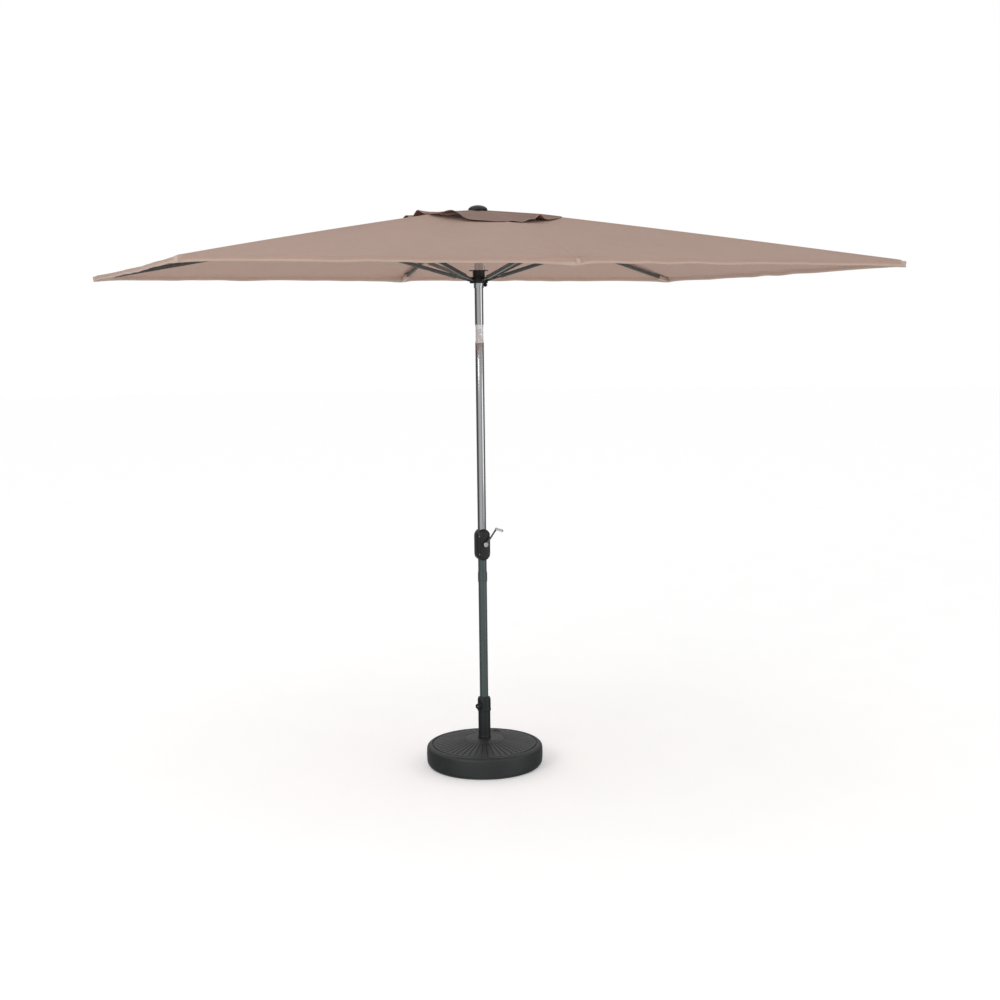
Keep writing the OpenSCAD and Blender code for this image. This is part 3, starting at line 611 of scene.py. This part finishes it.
def vent_fraction(x, y):
    """Share of the way from the mast to the vent cap's edge."""
    fraction = np.zeros_like(x)
    for k in range(len(TIPS)):
        (ax, ay), (bx, by) = vent_tip(k), vent_tip(k + 1)
        across = (x * (by - ay) - y * (bx - ax)) / (ax * (by - ay) - ay * (bx - ax))
        fraction = np.maximum(fraction, across)
    return fraction


def vent_z(x, y):
    """Height of the vent cap's middle surface: on the canopy over ribs, with a loose edge between them."""
    share, between, in_side = spans(x, y)
    z = ridge_z(share) - slack(share, between, in_side) - VENT_SINK
    z = z + (VENT_SINK + VENT_RISE) * np.clip(share / VENT_SETTLE, 0, 1)
    fan = np.degrees(np.arctan2(y, x))
    loose = np.clip(vent_fraction(x, y), 0, 1.03) ** 4
    for angle, width, height in VENT_FOLDS:
        off = (fan - angle + 180) % 360 - 180
        z = z + height * loose * np.exp(-((off / width) ** 2))
    edge = np.sqrt(between)
    return z + 0.0022 * loose * edge * np.sin(np.radians(17 * fan) + 2) + 0.002 * loose * edge


def slope_normals(surface, x, y, reach=0.0015):
    """Unit normals of a height surface, rounded over a short reach as cloth is over a seam."""
    dx = (surface(x + reach, y) - surface(x - reach, y)) / (2 * reach)
    dy = (surface(x, y + reach) - surface(x, y - reach)) / (2 * reach)
    normal = np.stack([-dx, -dy, np.ones_like(dx)], axis=-1)
    return normal / np.linalg.norm(normal, axis=-1, keepdims=True)


def cloth_shell(name, surface, x, y, half_t, hem_rows, looks):
    """A closed thin shell over a grid of plan points; the last hem_rows of the grid take the second look."""
    rows, columns = x.shape
    z, normal = surface(x, y), slope_normals(surface, x, y)
    middle = np.stack([x, y, z], axis=-1)
    offset = normal * half_t[..., None]
    top, bottom = (middle + offset).reshape(-1, 3), (middle - offset).reshape(-1, 3)
    count = rows * columns
    index = np.arange(count).reshape(rows, columns)
    a, b, c, d = (index[:-1, :-1], index[1:, :-1], index[1:, 1:], index[:-1, 1:])
    quads = np.stack([a, b, c, d], axis=-1).reshape(-1, 4)
    first = top[quads[0]]
    up = np.cross(first[1] - first[0], first[2] - first[0])[2] > 0
    if not up:
        quads = quads[:, ::-1]
    edge = np.concatenate([index[:, 0], index[-1, 1:], index[-2::-1, -1], index[0, -2:0:-1]])
    after = np.roll(edge, -1)
    walls = np.stack([edge, edge + count, after + count, after], axis=-1)
    if not up:
        walls = walls[:, ::-1]
    faces = np.concatenate([quads, quads[:, ::-1] + count, walls])
    mesh = bpy.data.meshes.new(name)
    mesh.from_pydata(np.concatenate([top, bottom]).tolist(), [], faces.tolist())
    hem = np.zeros((rows - 1, columns - 1), int)
    if hem_rows:
        hem[-hem_rows:] = 1
    look = np.concatenate([hem.ravel(), hem.ravel(), np.full(len(walls), 1 if hem_rows else 0)])
    mesh.polygons.foreach_set("material_index", look.astype(np.int32))
    mesh.polygons.foreach_set("use_smooth", np.ones(len(faces), bool))
    flat = normal.reshape(-1, 3)
    walls_auto = np.zeros((len(walls) * 4, 3))
    loops = np.concatenate([flat[quads.ravel()], -flat[quads[:, ::-1].ravel()], walls_auto])
    mesh.normals_split_custom_set(loops.tolist())
    for material in looks:
        mesh.materials.append(LOOKS[material])
    mesh.update()
    piece = bpy.data.objects.new(name, mesh)
    bpy.context.collection.objects.link(piece)
    return piece


def bisector_share(tip, other):
    """How far along the hem from one tip to the other the line half way between their ribs meets it."""
    middle = tip / np.linalg.norm(tip) + other / np.linalg.norm(other)
    near, far = (p[0] * middle[1] - p[1] * middle[0] for p in (tip, other))
    return near / (near - far)


def levels(*stops):
    """Rising values through (value, steps to the next value) stops."""
    values = []
    for (value, steps), (following, _) in zip(stops, stops[1:]):
        values += [value + (following - value) * k / steps for k in range(steps)]
    return np.array(values + [stops[-1][0]])


# name, surface, tips, inner and outer share, rows, and a share of its width, which nothing applies;
# vent_root, which has none, is left in place instead of riding its rib
RINGS = [
    ("canopy_inner", fabric_z, canopy_tip, VENT_HOLE, RING_SPLIT, 16, 0.27),
    ("canopy_outer", fabric_z, canopy_tip, RING_SPLIT, 1.0, 34, 0.155),
    ("vent_root", vent_z, vent_tip, *VENT_SPLITS[:2], 5, None),
    ("vent_inner", vent_z, vent_tip, *VENT_SPLITS[1:3], 10, 0.62),
    ("vent_outer", vent_z, vent_tip, *VENT_SPLITS[2:], 14, 0.40),
]


def half_sector(k, step, ring):
    """The cloth of one ring between a rib and the line half way to the rib on one side of it."""
    prefix, surface, tip_at, inner, outer, rows, keep = ring
    name = TIPS[k][0]
    is_vent = prefix.startswith("vent")
    tip, other = np.array(tip_at(k)), np.array(tip_at(k + step))
    cut = bisector_share(tip, other)
    across = levels((0.0, 5), (0.03 * cut, 26), (cut, 0))
    deep = VENT_DEEP if is_vent else HALF_Y if tip[1] == other[1] else HALF_X  # mast to hem
    is_hem = outer == 1.0
    if is_hem and is_vent:
        along = levels((inner, rows), (outer - 0.6 * HEM_W / deep, 5), (outer, 0))
    elif is_hem:
        lip = outer - LIP_W / deep
        along = levels((inner, rows), (outer - (LIP_W + HEM_W) / deep, 3), (lip, 7), (outer, 0))
    else:
        along = levels((inner, rows), (outer, 0))
    hem_line = tip + np.outer(across, other - tip)
    x, y = np.outer(along, hem_line[:, 0]), np.outer(along, hem_line[:, 1])
    half_t = np.full_like(x, CLOTH_T / 2)
    hem_rows = 0
    if is_hem:
        half_t[-1] *= 0.5
        hem_rows = 2
    looks = ("vent", "vent_hem") if is_vent else ("canopy_fabric", "hem")
    side = "left" if step < 0 else "right"
    piece = cloth_shell(f"{prefix}_{name}_{side}", surface, x, y, half_t, hem_rows, looks)

    # the ring's corners on the cloth, which nothing uses
    def on_cloth(share, v):
        p = share * (tip + v * (other - tip))
        return Vector((p[0], p[1], float(surface(p[:1], p[1:])[0])))

    a, b, c, d = (on_cloth(*q) for q in ((inner, 0), (outer, 0), (outer, cut), (inner, cut)))
    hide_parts("vent_cap" if is_vent else "canopy")
    if keep is None:
        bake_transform(piece)
        return
    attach(piece, f"rib_{name}")
    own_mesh(piece)


def vent_centre():
    """The middle of the vent cap, clamped under the finial."""
    tips = [vent_tip(k) for k in range(len(TIPS))]
    ring = [np.array(tips[k]) * (1 - t) + np.array(tips[(k + 1) % len(TIPS)]) * t
            for k in range(len(TIPS)) for t in (0, 0.25, 0.5, 0.75)]
    plan = np.array([[0.0, 0.0]] + [p * share for share in (0.05, 0.09, VENT_SPLITS[0]) for p in ring])
    z = vent_z(plan[:, 0], plan[:, 1])
    n, count = len(ring), len(plan)
    points = [(p[0], p[1], h + side * CLOTH_T / 2) for side in (1, -1) for p, h in zip(plan, z)]
    faces = []
    for base, turn in ((0, 1), (count, -1)):
        for k in range(n):
            j = (k + 1) % n
            faces.append([base, base + 1 + k, base + 1 + j][::turn])
            for row in (0, n):
                low, high = base + 1 + row, base + 1 + row + n
                faces.append([low + k, high + k, high + j, low + j][::turn])
    rim = 1 + 2 * n
    faces += [[rim + k, count + rim + k, count + rim + (k + 1) % n, rim + (k + 1) % n] for k in range(n)]
    piece = piece_of("vent_centre", "upper_mast", "canopy_fabric", "vent_cap", (points, faces, 0),
                     looks=("vent",))


def rib_frame(k):
    """Matrix of a rib (origin at its hub pivot, X out along it, Z up from it), its length and its pitch."""
    x, y = canopy_tip(k)
    full = math.hypot(x, y)
    out = Vector((x / full, y / full, 0))
    fall = (PEAK_Z - TIP_Z) * (full - RIB_END_GAP) / full
    drop = HUB_Z - (PEAK_Z - fall - RIB_SINK)
    run = full - RIB_END_GAP - HUB_R
    pitch = math.atan2(drop, run)
    turn = Matrix.Rotation(math.atan2(y, x), 4, "Z") @ Matrix.Rotation(pitch, 4, "Y")
    return Matrix.Translation(out * HUB_R + Vector((0, 0, HUB_Z))) @ turn, math.hypot(drop, run), pitch


def strut_frame(k, pitch):
    """Matrix of a strut (origin at its runner pivot, X along it to the bracket) and its length."""
    x, y = canopy_tip(k)
    at = BRACKET_AT[x != 0]
    r = HUB_R + at * math.cos(pitch) - BRACKET_DROP * math.sin(pitch)
    z = HUB_Z - at * math.sin(pitch) - BRACKET_DROP * math.cos(pitch)
    out = Matrix.Rotation(math.atan2(y, x), 4, "Z")
    turn = out @ Matrix.Rotation(-math.atan2(z - RUNNER_Z, r - RUNNER_R), 4, "Y")
    foot = out @ Vector((RUNNER_R, 0, RUNNER_Z))
    return Matrix.Translation(foot) @ turn, math.hypot(r - RUNNER_R, z - RUNNER_Z)


TONGUE_W, STRUT_TONGUE_W, EYE_R, STRUT_TONGUE_L, STRUT_HEAD_L = 0.005, 0.008, 0.0042, 0.060, 0.032


def eye(place, x, half_w, radius):
    """A flat round eye across the end of a tongue."""
    profile = fillet([(0, -half_w), (radius, -half_w, 0.0006), (radius, half_w, 0.0006), (0, half_w)], 2)
    return turned(profile, place @ facing(x, axis=(0, 1, 0)), 24)


def tube_bar(place, half_w, half_h, low, high, parts=1):
    """A rectangular tube's outside, with its ends rolled in."""
    roll = 0.0008
    return loft([
        oblong(half_w - roll, half_h - roll, 0.0015, low),
        oblong(half_w, half_h, 0.0022, low + roll),
        *(oblong(half_w, half_h, 0.0022, low + (high - low) * t / parts) for t in range(1, parts)),
        oblong(half_w, half_h, 0.0022, high - roll),
        oblong(half_w - roll, half_h - roll, 0.0015, high),
    ], place)


def add_ribs():
    for k, (name, tip_x, _) in enumerate(TIPS):
        place, length, pitch = rib_frame(k)
        half_w, half_h = RIB_W / 2, RIB_H / 2
        start = RIB_START
        body = tube_bar(place, half_w, half_h, start, length, 6)
        tongue = loft([oblong(TONGUE_W / 2, 0.006, 0.001, at) for at in (0.0, start + 0.001)], place)
        crimp = loft([
            oblong(half_w + 0.0004, half_h + 0.0004, 0.0026, start + 0.006),
            oblong(half_w + 0.0011, half_h + 0.0011, 0.0028, start + 0.008),
            oblong(half_w + 0.0011, half_h + 0.0011, 0.0028, start + 0.018),
            oblong(half_w + 0.0004, half_h + 0.0004, 0.0026, start + 0.020),
        ], place)
        piece_of(f"rib_tube_{name}", f"rib_{name}", "rib_paint", f"rib_{name}",
                 body, tongue, crimp, eye(place, 0, TONGUE_W / 2, 0.006))
        # pocket of doubled cloth that takes the rib's end, with the tip cap in it
        back, end = length - (0.092 if tip_x else 0.060), length + 0.0125
        cover = loft([
            oblong(half_w + 0.0008, half_h + 0.0002, 0.003, back),
            oblong(half_w + 0.0030, half_h + 0.0022, 0.005, back + 0.004),
            oblong(half_w + 0.0026, half_h + 0.0026, 0.005, (back + end) / 2),
            oblong(half_w + 0.0036, half_h + 0.0030, 0.005, end - 0.006),
            oblong(half_w + 0.0030, half_h + 0.0018, 0.005, end),
        ], place)
        pocket = piece_of(f"pocket_{name}", f"rib_{name}", "canopy_fabric", "canopy", cover, looks=("hem",))
        strut_place, span = strut_frame(k, pitch)
        tube = tube_bar(strut_place, half_w, STRUT_H / 2, STRUT_TONGUE_L, span - STRUT_HEAD_L)
        tongues = [
            loft([oblong(STRUT_TONGUE_W / 2, EYE_R, 0.001, at) for at in ends], strut_place)
            for ends in ((0.0, STRUT_TONGUE_L + 0.001), (span - STRUT_HEAD_L - 0.001, span))
        ]
        piece_of(f"strut_tube_{name}", f"strut_{name}", "rib_paint", f"strut_{name}",
                 tube, *tongues, *(eye(strut_place, at, STRUT_TONGUE_W / 2, EYE_R) for at in (0, span)))


def add_fabric():
    for ring in RINGS:
        for k in range(len(TIPS)):
            for step in (-1, 1):
                half_sector(k, step, ring)
    vent_centre()


# ---- mast ----


def pole(name, body, node, look, low, high, slot=None):
    """A tube with rolled ends; its bore shows only at the ends."""
    radius, inner = POLE_R, POLE_R - 0.0012
    profile = fillet([
        (inner, low + 0.06), (inner, low, 0.0004), (radius, low, 0.0006), (radius, high, 0.0006),
        (inner, high, 0.0004), (inner, high - 0.06)], 2)
    return piece_of(name, body, slot or look, node, turned(profile, None, 96), looks=(look,))


def add_mast():
    pole("lower_tube", "mast", "lower_pole", "mast_paint", 0.032, POLE_JOIN_Z - 0.001)
    sleeve_r = 0.021
    low, high = POLE_JOIN_Z - 0.025, POLE_JOIN_Z + 0.020
    profile = fillet([
        (0, low - 0.03), (POLE_R - 0.0013, low - 0.03, 0.001), (POLE_R - 0.0013, low, 0.0001),
        (sleeve_r - 0.0004, low, 0.0012), (sleeve_r - 0.0002, low + 0.006, 0.002),
        (sleeve_r, POLE_JOIN_Z - 0.002, 0.001), (sleeve_r - 0.0007, POLE_JOIN_Z, 0.0004),
        (sleeve_r, POLE_JOIN_Z + 0.002, 0.001), (sleeve_r - 0.0002, high - 0.006, 0.002),
        (sleeve_r - 0.0006, high, 0.0012), (POLE_R - 0.0013, high, 0.0001),
        (POLE_R - 0.0013, high + 0.04, 0.001), (0, high + 0.04)], 3)
    piece_of("joint_sleeve", "mast", "mast_paint", "pole_coupling", turned(profile, None, 96))
    housing_low = HOUSING_Z - HOUSING_H / 2
    # painted shade and reflection: below the housing the chrome middle tube takes the lower pole's dark
    # paint
    pole("middle_tube_painted_shade", "mast", "middle_pole", "mast_paint", POLE_JOIN_Z + 0.001, housing_low + 0.02,
         slot="mast_metal")
    pole("middle_tube", "mast", "middle_pole", "mast_metal", housing_low + 0.10, FORK_Z)
    pole("upper_tube", "upper_mast", "upper_pole", "mast_metal", UPPER_FOOT_Z, POLE_TOP_Z)


def capsule_ring(half_w, half_h, y, centre_z, steps=14):
    """Ring of a slot shape with round ends, in the plane of constant y."""
    ring = []
    for sign, start in ((1, 0), (-1, 180)):
        for j in range(steps + 1):
            angle = math.radians(start + 180 * j / steps)
            ring.append((half_w * math.cos(angle), y,
                         centre_z + sign * (half_h - half_w) + half_w * math.sin(angle)))
    return ring


def dome_rings(half_w, half_h, back, front, edge, centre_z):
    """Rings of a slab with a rounded front edge, from back to front (toward -Y when front < back)."""
    rings = [capsule_ring(half_w, half_h, back, centre_z)]
    sign = 1 if front > back else -1
    for j in range(7):
        angle = math.radians(90 * j / 6)
        inset = edge * (1 - math.cos(angle))
        rings.append(capsule_ring(half_w - inset, half_h - inset,
                                  front - sign * edge * (1 - math.sin(angle)), centre_z))
    return rings


def add_crank():
    half_w, half_h = HOUSING_W / 2, HOUSING_H / 2
    front = loft(dome_rings(half_w, half_h, -0.0004, -HOUSING_Y, 0.014, HOUSING_Z))
    panel = loft(dome_rings(half_w - 0.009, half_h - 0.009, -HOUSING_Y + 0.008, -HOUSING_Y - PANEL_OUT,
                            0.005, HOUSING_Z))
    piece_of("housing_front", "mast", "housing_plastic", "crank_front_shell", front, panel)
    rear = loft(dome_rings(half_w, half_h, 0.0004, HOUSING_Y, 0.015, HOUSING_Z))
    piece_of("housing_rear", "mast", "housing_plastic", "crank_rear_shell", rear)
    axle = fillet([(0, -0.026), (0.005, -0.026, 0.0008), (0.005, 0.0435, 0.0005), (0.0078, 0.0435, 0.0008),
                   (0.0070, 0.048, 0.0012), (0, 0.048)], 3)
    piece_of("crank_axle_turned", "crank", "bright_steel", "crank_axle",
             turned(axle, facing(z=CRANK_Z, axis=(0, -1, 0)), 32))
    reach = Vector((math.cos(CRANK_TURN), 0, math.sin(CRANK_TURN)))
    along = Matrix.Translation((0, -0.0475, CRANK_Z)) @ Matrix.Rotation(-CRANK_TURN, 4, "Y")
    bar = loft([oblong(0.0020, w, 0.0012, at) for at, w in (
        (0.0, 0.0050), (0.010, 0.0046), (0.022, 0.0038), (CRANK_ARM - 0.008, 0.0038), (CRANK_ARM, 0.0042))],
        along)
    hub = turned(fillet([(0, 0.0395), (0.0095, 0.0395, 0.0005), (0.0118, 0.0415, 0.001),
                         (0.0112, 0.0490, 0.0018), (0.0082, 0.0506, 0.0010), (0.0068, 0.0500, 0.0006),
                         (0, 0.0500)], 3),
                 facing(z=CRANK_Z, axis=(0, -1, 0)), 48, 1)
    end = reach * CRANK_ARM + Vector((0, 0, CRANK_Z))
    boss = turned(fillet([(0, 0.0450), (0.0058, 0.0450, 0.001), (0.0058, 0.0505, 0.001), (0, 0.0505)], 2),
                  facing(end.x, 0, end.z, (0, -1, 0)), 32)
    bolt = turned(fillet([(0, 0.0490), (0.0048, 0.0490, 0.0004), (0.0048, 0.0520, 0.0010), (0, 0.0526)], 3),
                  facing(z=CRANK_Z, axis=(0, -1, 0)), 6, 1)
    piece_of("crank_arm_bar", "crank", "bright_steel", "crank_arm", bar, hub, boss, bolt,
             looks=("mast_paint", "bright_steel"))
    grip = fillet([(0.0030, 0.0515), (0.0058, 0.0515, 0.0012), (0.0062, 0.0560, 0.002),
                   (0.0052, 0.0700, 0.008), (0.0058, 0.0930, 0.012), (0.0072, 0.1100, 0.006),
                   (0.0062, 0.1165, 0.003), (0.0030, 0.1170)], 4)
    piece_of("grip_turned", "crank_grip", "grip_plastic", "crank_grip",
             turned(grip, facing(end.x, 0, end.z, (0, -1, 0)), 40))


# ---- head ----


def add_head():
    low, high, radius = 2.4673, 2.4900, 0.042

    def fluted(angle, z):
        return 1 - 0.018 * (0.5 + 0.5 * math.cos(16 * angle)) * (1 if low + 0.004 < z < high - 0.006 else 0)

    dome = fillet([(0, high), (0.012, high - 0.0006, 0.004), (0.030, high - 0.0052, 0.010),
                   (0.040, high - 0.0130, 0.006), (radius, high - 0.0185, 0.002), (radius, low, 0.0015),
                   (radius - 0.003, low, 0.001), (radius - 0.004, high - 0.0175, 0.002),
                   (0.012, low + 0.010, 0.003), (0, low + 0.010)], 4)
    piece_of("finial_cap", "upper_mast", "black_plastic", "finial", turned(dome, None, 96, wobble=fluted))
    at_bead, bead_r = Matrix.Translation((0.031, 0, 2.1478)), 0.0085
    bead = turned([Vector((bead_r * math.sin(a), -bead_r * math.cos(a)))
                   for a in (math.pi * j / 14 for j in range(15))], at_bead, 32)
    ring = turned([Vector((bead_r + 0.0007 * math.cos(a), 0.0007 * math.sin(a)))
                   for a in (2 * math.pi * j / 8 for j in range(8))], at_bead, 32)
    piece_of("cord_bead", "runner", "black_plastic", "cord_stop", bead, ring)


def cord_stretch(name, node, bodies, path, hinge=None):
    """A stretch of the lifting cord along a path in the XZ plane, riding a body, or left unattached where a
    hinge is given.
    """
    count = 12
    path = [Vector(p) for p in path]
    rings = []
    for j, point in enumerate(path):
        ahead = (path[min(j + 1, len(path) - 1)] - path[max(j - 1, 0)]).normalized()
        side = Vector((-ahead.z, 0, ahead.x))
        rings.append([point + CORD_R * (side * math.cos(a) + Vector((0, 1, 0)) * math.sin(a))
                      for a in (2 * math.pi * k / count for k in range(count))])
    points, faces, _ = loft(rings)
    piece = mesh_object(name, points, faces, ("cord",), [0] * len(faces))
    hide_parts(node)
    if hinge:
        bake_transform(piece)
    else:
        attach(piece, *bodies)


def add_cord():
    """The lifting cord: from the spool up inside the mast, over the pulley and down to the bead."""
    inner_x, pulley_x, split_z = 0.012, 0.0205, UPPER_FOOT_Z + 0.050
    rise = [(inner_x, 0, CRANK_Z + 0.004 + (split_z - CRANK_Z - 0.004) * j / 80) for j in range(81)]
    bend = (Vector((inner_x, 0, TILT_Z - 0.012)), Vector((inner_x, 0, TILT_Z + 0.012)))
    cord_stretch("cord_in_mast", "cord_inner", ("mast", "upper_mast"), rise, bend)
    turn = CORD_X - pulley_x
    over = [(inner_x, 0, split_z + 0.001 + (CORD_TOP_Z - split_z - 0.001) * j / 30) for j in range(30)]
    over += [(pulley_x - turn * math.cos(a), 0, CORD_TOP_Z + turn * math.sin(a))
             for a in (math.pi * j / 24 for j in range(25))]
    cord_stretch("cord_over_pulley", "cord_upper", ("upper_mast",), over)
    low = CORD_TOP_Z - 0.0002
    free = [(CORD_X, 0, low - (low - CORD_END_Z) * j / 60) for j in range(61)]
    ends = (Vector(free[0]), Vector(free[-1]))
    cord_stretch("cord_free", "cord_lift", ("upper_mast", "runner"), free, ends)


def add_spring():
    """The button's spring: a copy of its CAD coil, shaded smooth, that rides on the mast."""
    piece = copy_of("button_spring", "spring_coil", "mast", "bright_steel")
    all_smooth(piece)
    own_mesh(piece)


# ---- base ----


def base_height(r):
    """Height of the base's upper surface at a radius, without its grooves."""
    inner, outer = BOSS_R + 0.004, 0.229
    if r <= BOSS_R - 0.010:
        return BOSS_H
    if r <= inner:
        t = (r - BOSS_R + 0.010) / (inner - BOSS_R + 0.010)
        return BOSS_H - 0.004 * t * t
    return 0.120 - (0.120 - RIM_H) * (r - inner) / (outer - inner)


def add_base():
    sector = math.pi / GROOVES  # from a groove's middle to the land's middle
    start, end = GROOVE_START, GROOVE_END
    radii = [0.0285, 0.0290, 0.045, 0.060, 0.070, 0.075, 0.079, 0.0845, start, start + 0.0012]
    radii += [start + 0.0012 + (end - start - 0.0024) * t / 16 for t in range(1, 17)] + [end, 0.2265]
    outline = [(r, base_height(r)) for r in radii]
    outline += fillet([(0.2265, 0.0985), (0.2320, 0.0982, 0.0005), (0.2330, 0.0932, 0.0008),
                       (0.2376, 0.0932, 0.0008), (0.2382, 0.0980, 0.0010), (0.2480, 0.0972, 0.004),
                       (0.2602, 0.0880, 0.012), (BASE_R, 0.0560, 0.020), (0.2616, 0.0556, 0.0002),
                       (0.2616, 0.0545, 0.0002), (BASE_R, 0.0541, 0.0010), (0.2600, 0.0150, 0.024),
                       (0.2480, 0.0010, 0.012), (0.2400, 0.0002, 0.002), (0.0, 0.0002)], 3)[1:]
    grooved = {k for k, r in enumerate(radii) if start < r < end}
    points, faces = [], []

    def angles(r, k):
        w = math.asin(min(1.0, GROOVE_HALF_W / r))
        base = 2 * math.pi * (k + 0.5) / GROOVES
        return [base - sector, base - w * 1.5, base - w * 0.8, base, base + w * 0.8, base + w * 1.5]

    count = GROOVES * len(angles(start, 0))
    for row, (r, z) in enumerate(outline):
        if r < 1e-6:
            points.append((0, 0, z))
            continue
        spread = min(max(r, start), end)
        for k in range(GROOVES):
            for j, angle in enumerate(angles(spread, k)):
                sink = GROOVE_DEEP if row in grooved and j in (2, 3, 4) else 0.0
                points.append((r * math.cos(angle), r * math.sin(angle), z - sink))
    for row in range(len(outline) - 1):
        a0, b0 = row * count, (row + 1) * count
        for k in range(count):
            n = (k + 1) % count
            if outline[row + 1][0] < 1e-6:
                faces.append((a0 + k, a0 + n, b0))
            else:
                faces.append((a0 + k, b0 + k, b0 + n, a0 + n))
    well = fillet([(0.0285, BOSS_H), (0.0285, 0.030, 0.001), (0.0, 0.030)], 2)
    rows = []
    for r, z in well:
        if r < 1e-6:
            rows.append([len(points)])
            points.append((0, 0, z))
            continue
        rows.append(list(range(len(points), len(points) + count)))
        for k in range(count):
            p = points[k]
            angle = math.atan2(p[1], p[0])
            points.append((r * math.cos(angle), r * math.sin(angle), z))
    for upper, lower in zip(rows, rows[1:]):
        for k in range(count):
            n = (k + 1) % count
            face = (upper[k], upper[n], lower[n % len(lower)], lower[k % len(lower)])
            faces.append(face if len(lower) > 1 else face[:3])
    neck_x, neck_y = FILLER
    top = base_height(math.hypot(neck_x, neck_y))
    lip = turned(fillet([(0.0206, top - 0.010), (0.0206, top + 0.0016, 0.0008),
                         (0.0236, top + 0.0016, 0.0010), (0.0246, top - 0.004, 0.001)], 3),
                 Matrix.Translation((neck_x, neck_y, 0)), 64)
    piece_of("base_body", "base", "base_plastic", "base_shell", (points, faces, 0), lip)
    cap_top = top + 0.0035

    def milled(angle, _):
        return 1 - 0.02 * (0.5 + 0.5 * math.cos(30 * angle))

    cap = turned(fillet([(0, cap_top - 0.0015), (0.012, cap_top - 0.0015, 0.001), (0.0135, cap_top, 0.001),
                         (0.0196, cap_top, 0.0016), (0.0198, cap_top - 0.010), (0, cap_top - 0.010)], 4),
                 Matrix.Translation((neck_x, neck_y, 0)), 90, wobble=milled)
    slot_bar = loft([oblong(0.0022, 0.0016, 0.0008, at, cap_top - 0.0012) for at in (-0.0115, 0.0115)],
                    Matrix.Translation((neck_x, neck_y, 0)))
    piece_of("filler_cap_turned", "filler_cap", "black_plastic", "filler_cap",
             cap, slot_bar)
    socket = turned(fillet([(0.0232, 0.060), (0.0232, 0.2675, 0.0005), (SOCKET_R, 0.2675, 0.001),
                            (SOCKET_R, 0.136, 0.0005), (SOCKET_R + 0.0012, 0.132, 0.001),
                            (SOCKET_R + 0.0012, 0.060)], 3), None, 96)
    piece_of("socket_turned", "base", "socket_plastic", "socket_tube", socket)
    collar = turned(fillet([(0.0274, COLLAR_Z), (0.0305, COLLAR_Z, 0.0012),
                            (0.0305, COLLAR_Z + 0.008, 0.001), (0.0293, COLLAR_Z + 0.0092, 0.0005),
                            (0.0295, COLLAR_Z + 0.048, 0.004), (0.0272, COLLAR_TOP_Z, 0.003),
                            (0.0195, COLLAR_TOP_Z, 0.001), (0.0195, COLLAR_Z + 0.021)], 4), None, 96)
    out = (math.cos(KNOB_TURN), math.sin(KNOB_TURN), 0)
    axis = facing(z=KNOB_Z, axis=out)
    boss = turned(fillet([(0.0044, 0.020), (0.0115, 0.020, 0.001), (0.0108, 0.0365, 0.0012),
                          (0.0044, 0.0365)], 3), axis, 48)
    piece_of("collar_turned", "base", "socket_plastic", "locking_collar", collar, boss)

    def fluted(angle, z):
        return 1 - (0.13 if z > 0.0405 else 0.0) * (0.5 + 0.5 * math.cos(6 * angle)) ** 1.5

    knob = turned(fillet([(0.0044, 0.038), (0.0095, 0.038, 0.001), (0.0098, 0.0405, 0.0005),
                          (0.0132, 0.0415, 0.001), (0.0134, 0.0495, 0.0015), (0.0110, 0.0522, 0.002),
                          (0.0048, 0.0520)], 4), axis, 72, wobble=fluted)
    piece_of("knob_turned", "lock_knob", "black_plastic", "lock_knob", knob)
    screw = turned(fillet([(0, 0.019), (0.0036, 0.019, 0.0006), (0.0042, 0.021, 0.0005),
                           (0.0042, 0.0500, 0.0006), (0, 0.0506)], 3), axis, 32)
    piece_of("screw_turned", "lock_screw", "bright_steel", "lock_screw", screw)


# ---- CAD nodes with rounded edges, and materials of the nodes that stay ----

SOFTENED = [
    ("tilt_fork", "mast", "tilt_metal", 0.0010), ("tilt_knuckle", "upper_mast", "tilt_metal", 0.0010),
    ("tilt_button", "tilt_button", "tilt_metal", 0.0008),
    ("runner", "runner", "black_plastic", 0.0008, (RUNNER_COLLAR_Z, "mast_metal")),
    ("top_hub", "upper_mast", "black_plastic", 0.0008),
]


def dress_nodes():
    for part in frame["record"]["subparts"]:
        look = LOOKS[part["material_slot"]]
        piece = nodes[part["node"]]
        for slot in piece.material_slots:
            slot.material = look


add_camera()
add_studio()
add_fabric()
add_ribs()
add_mast()
add_crank()
add_head()
add_cord()
add_spring()
add_base()
for softened in SOFTENED:
    soften(*softened)
for name, *_ in TIPS:
    soften(f"bracket_{name}", f"rib_{name}", "bright_steel", 0.0005)
dress_nodes()
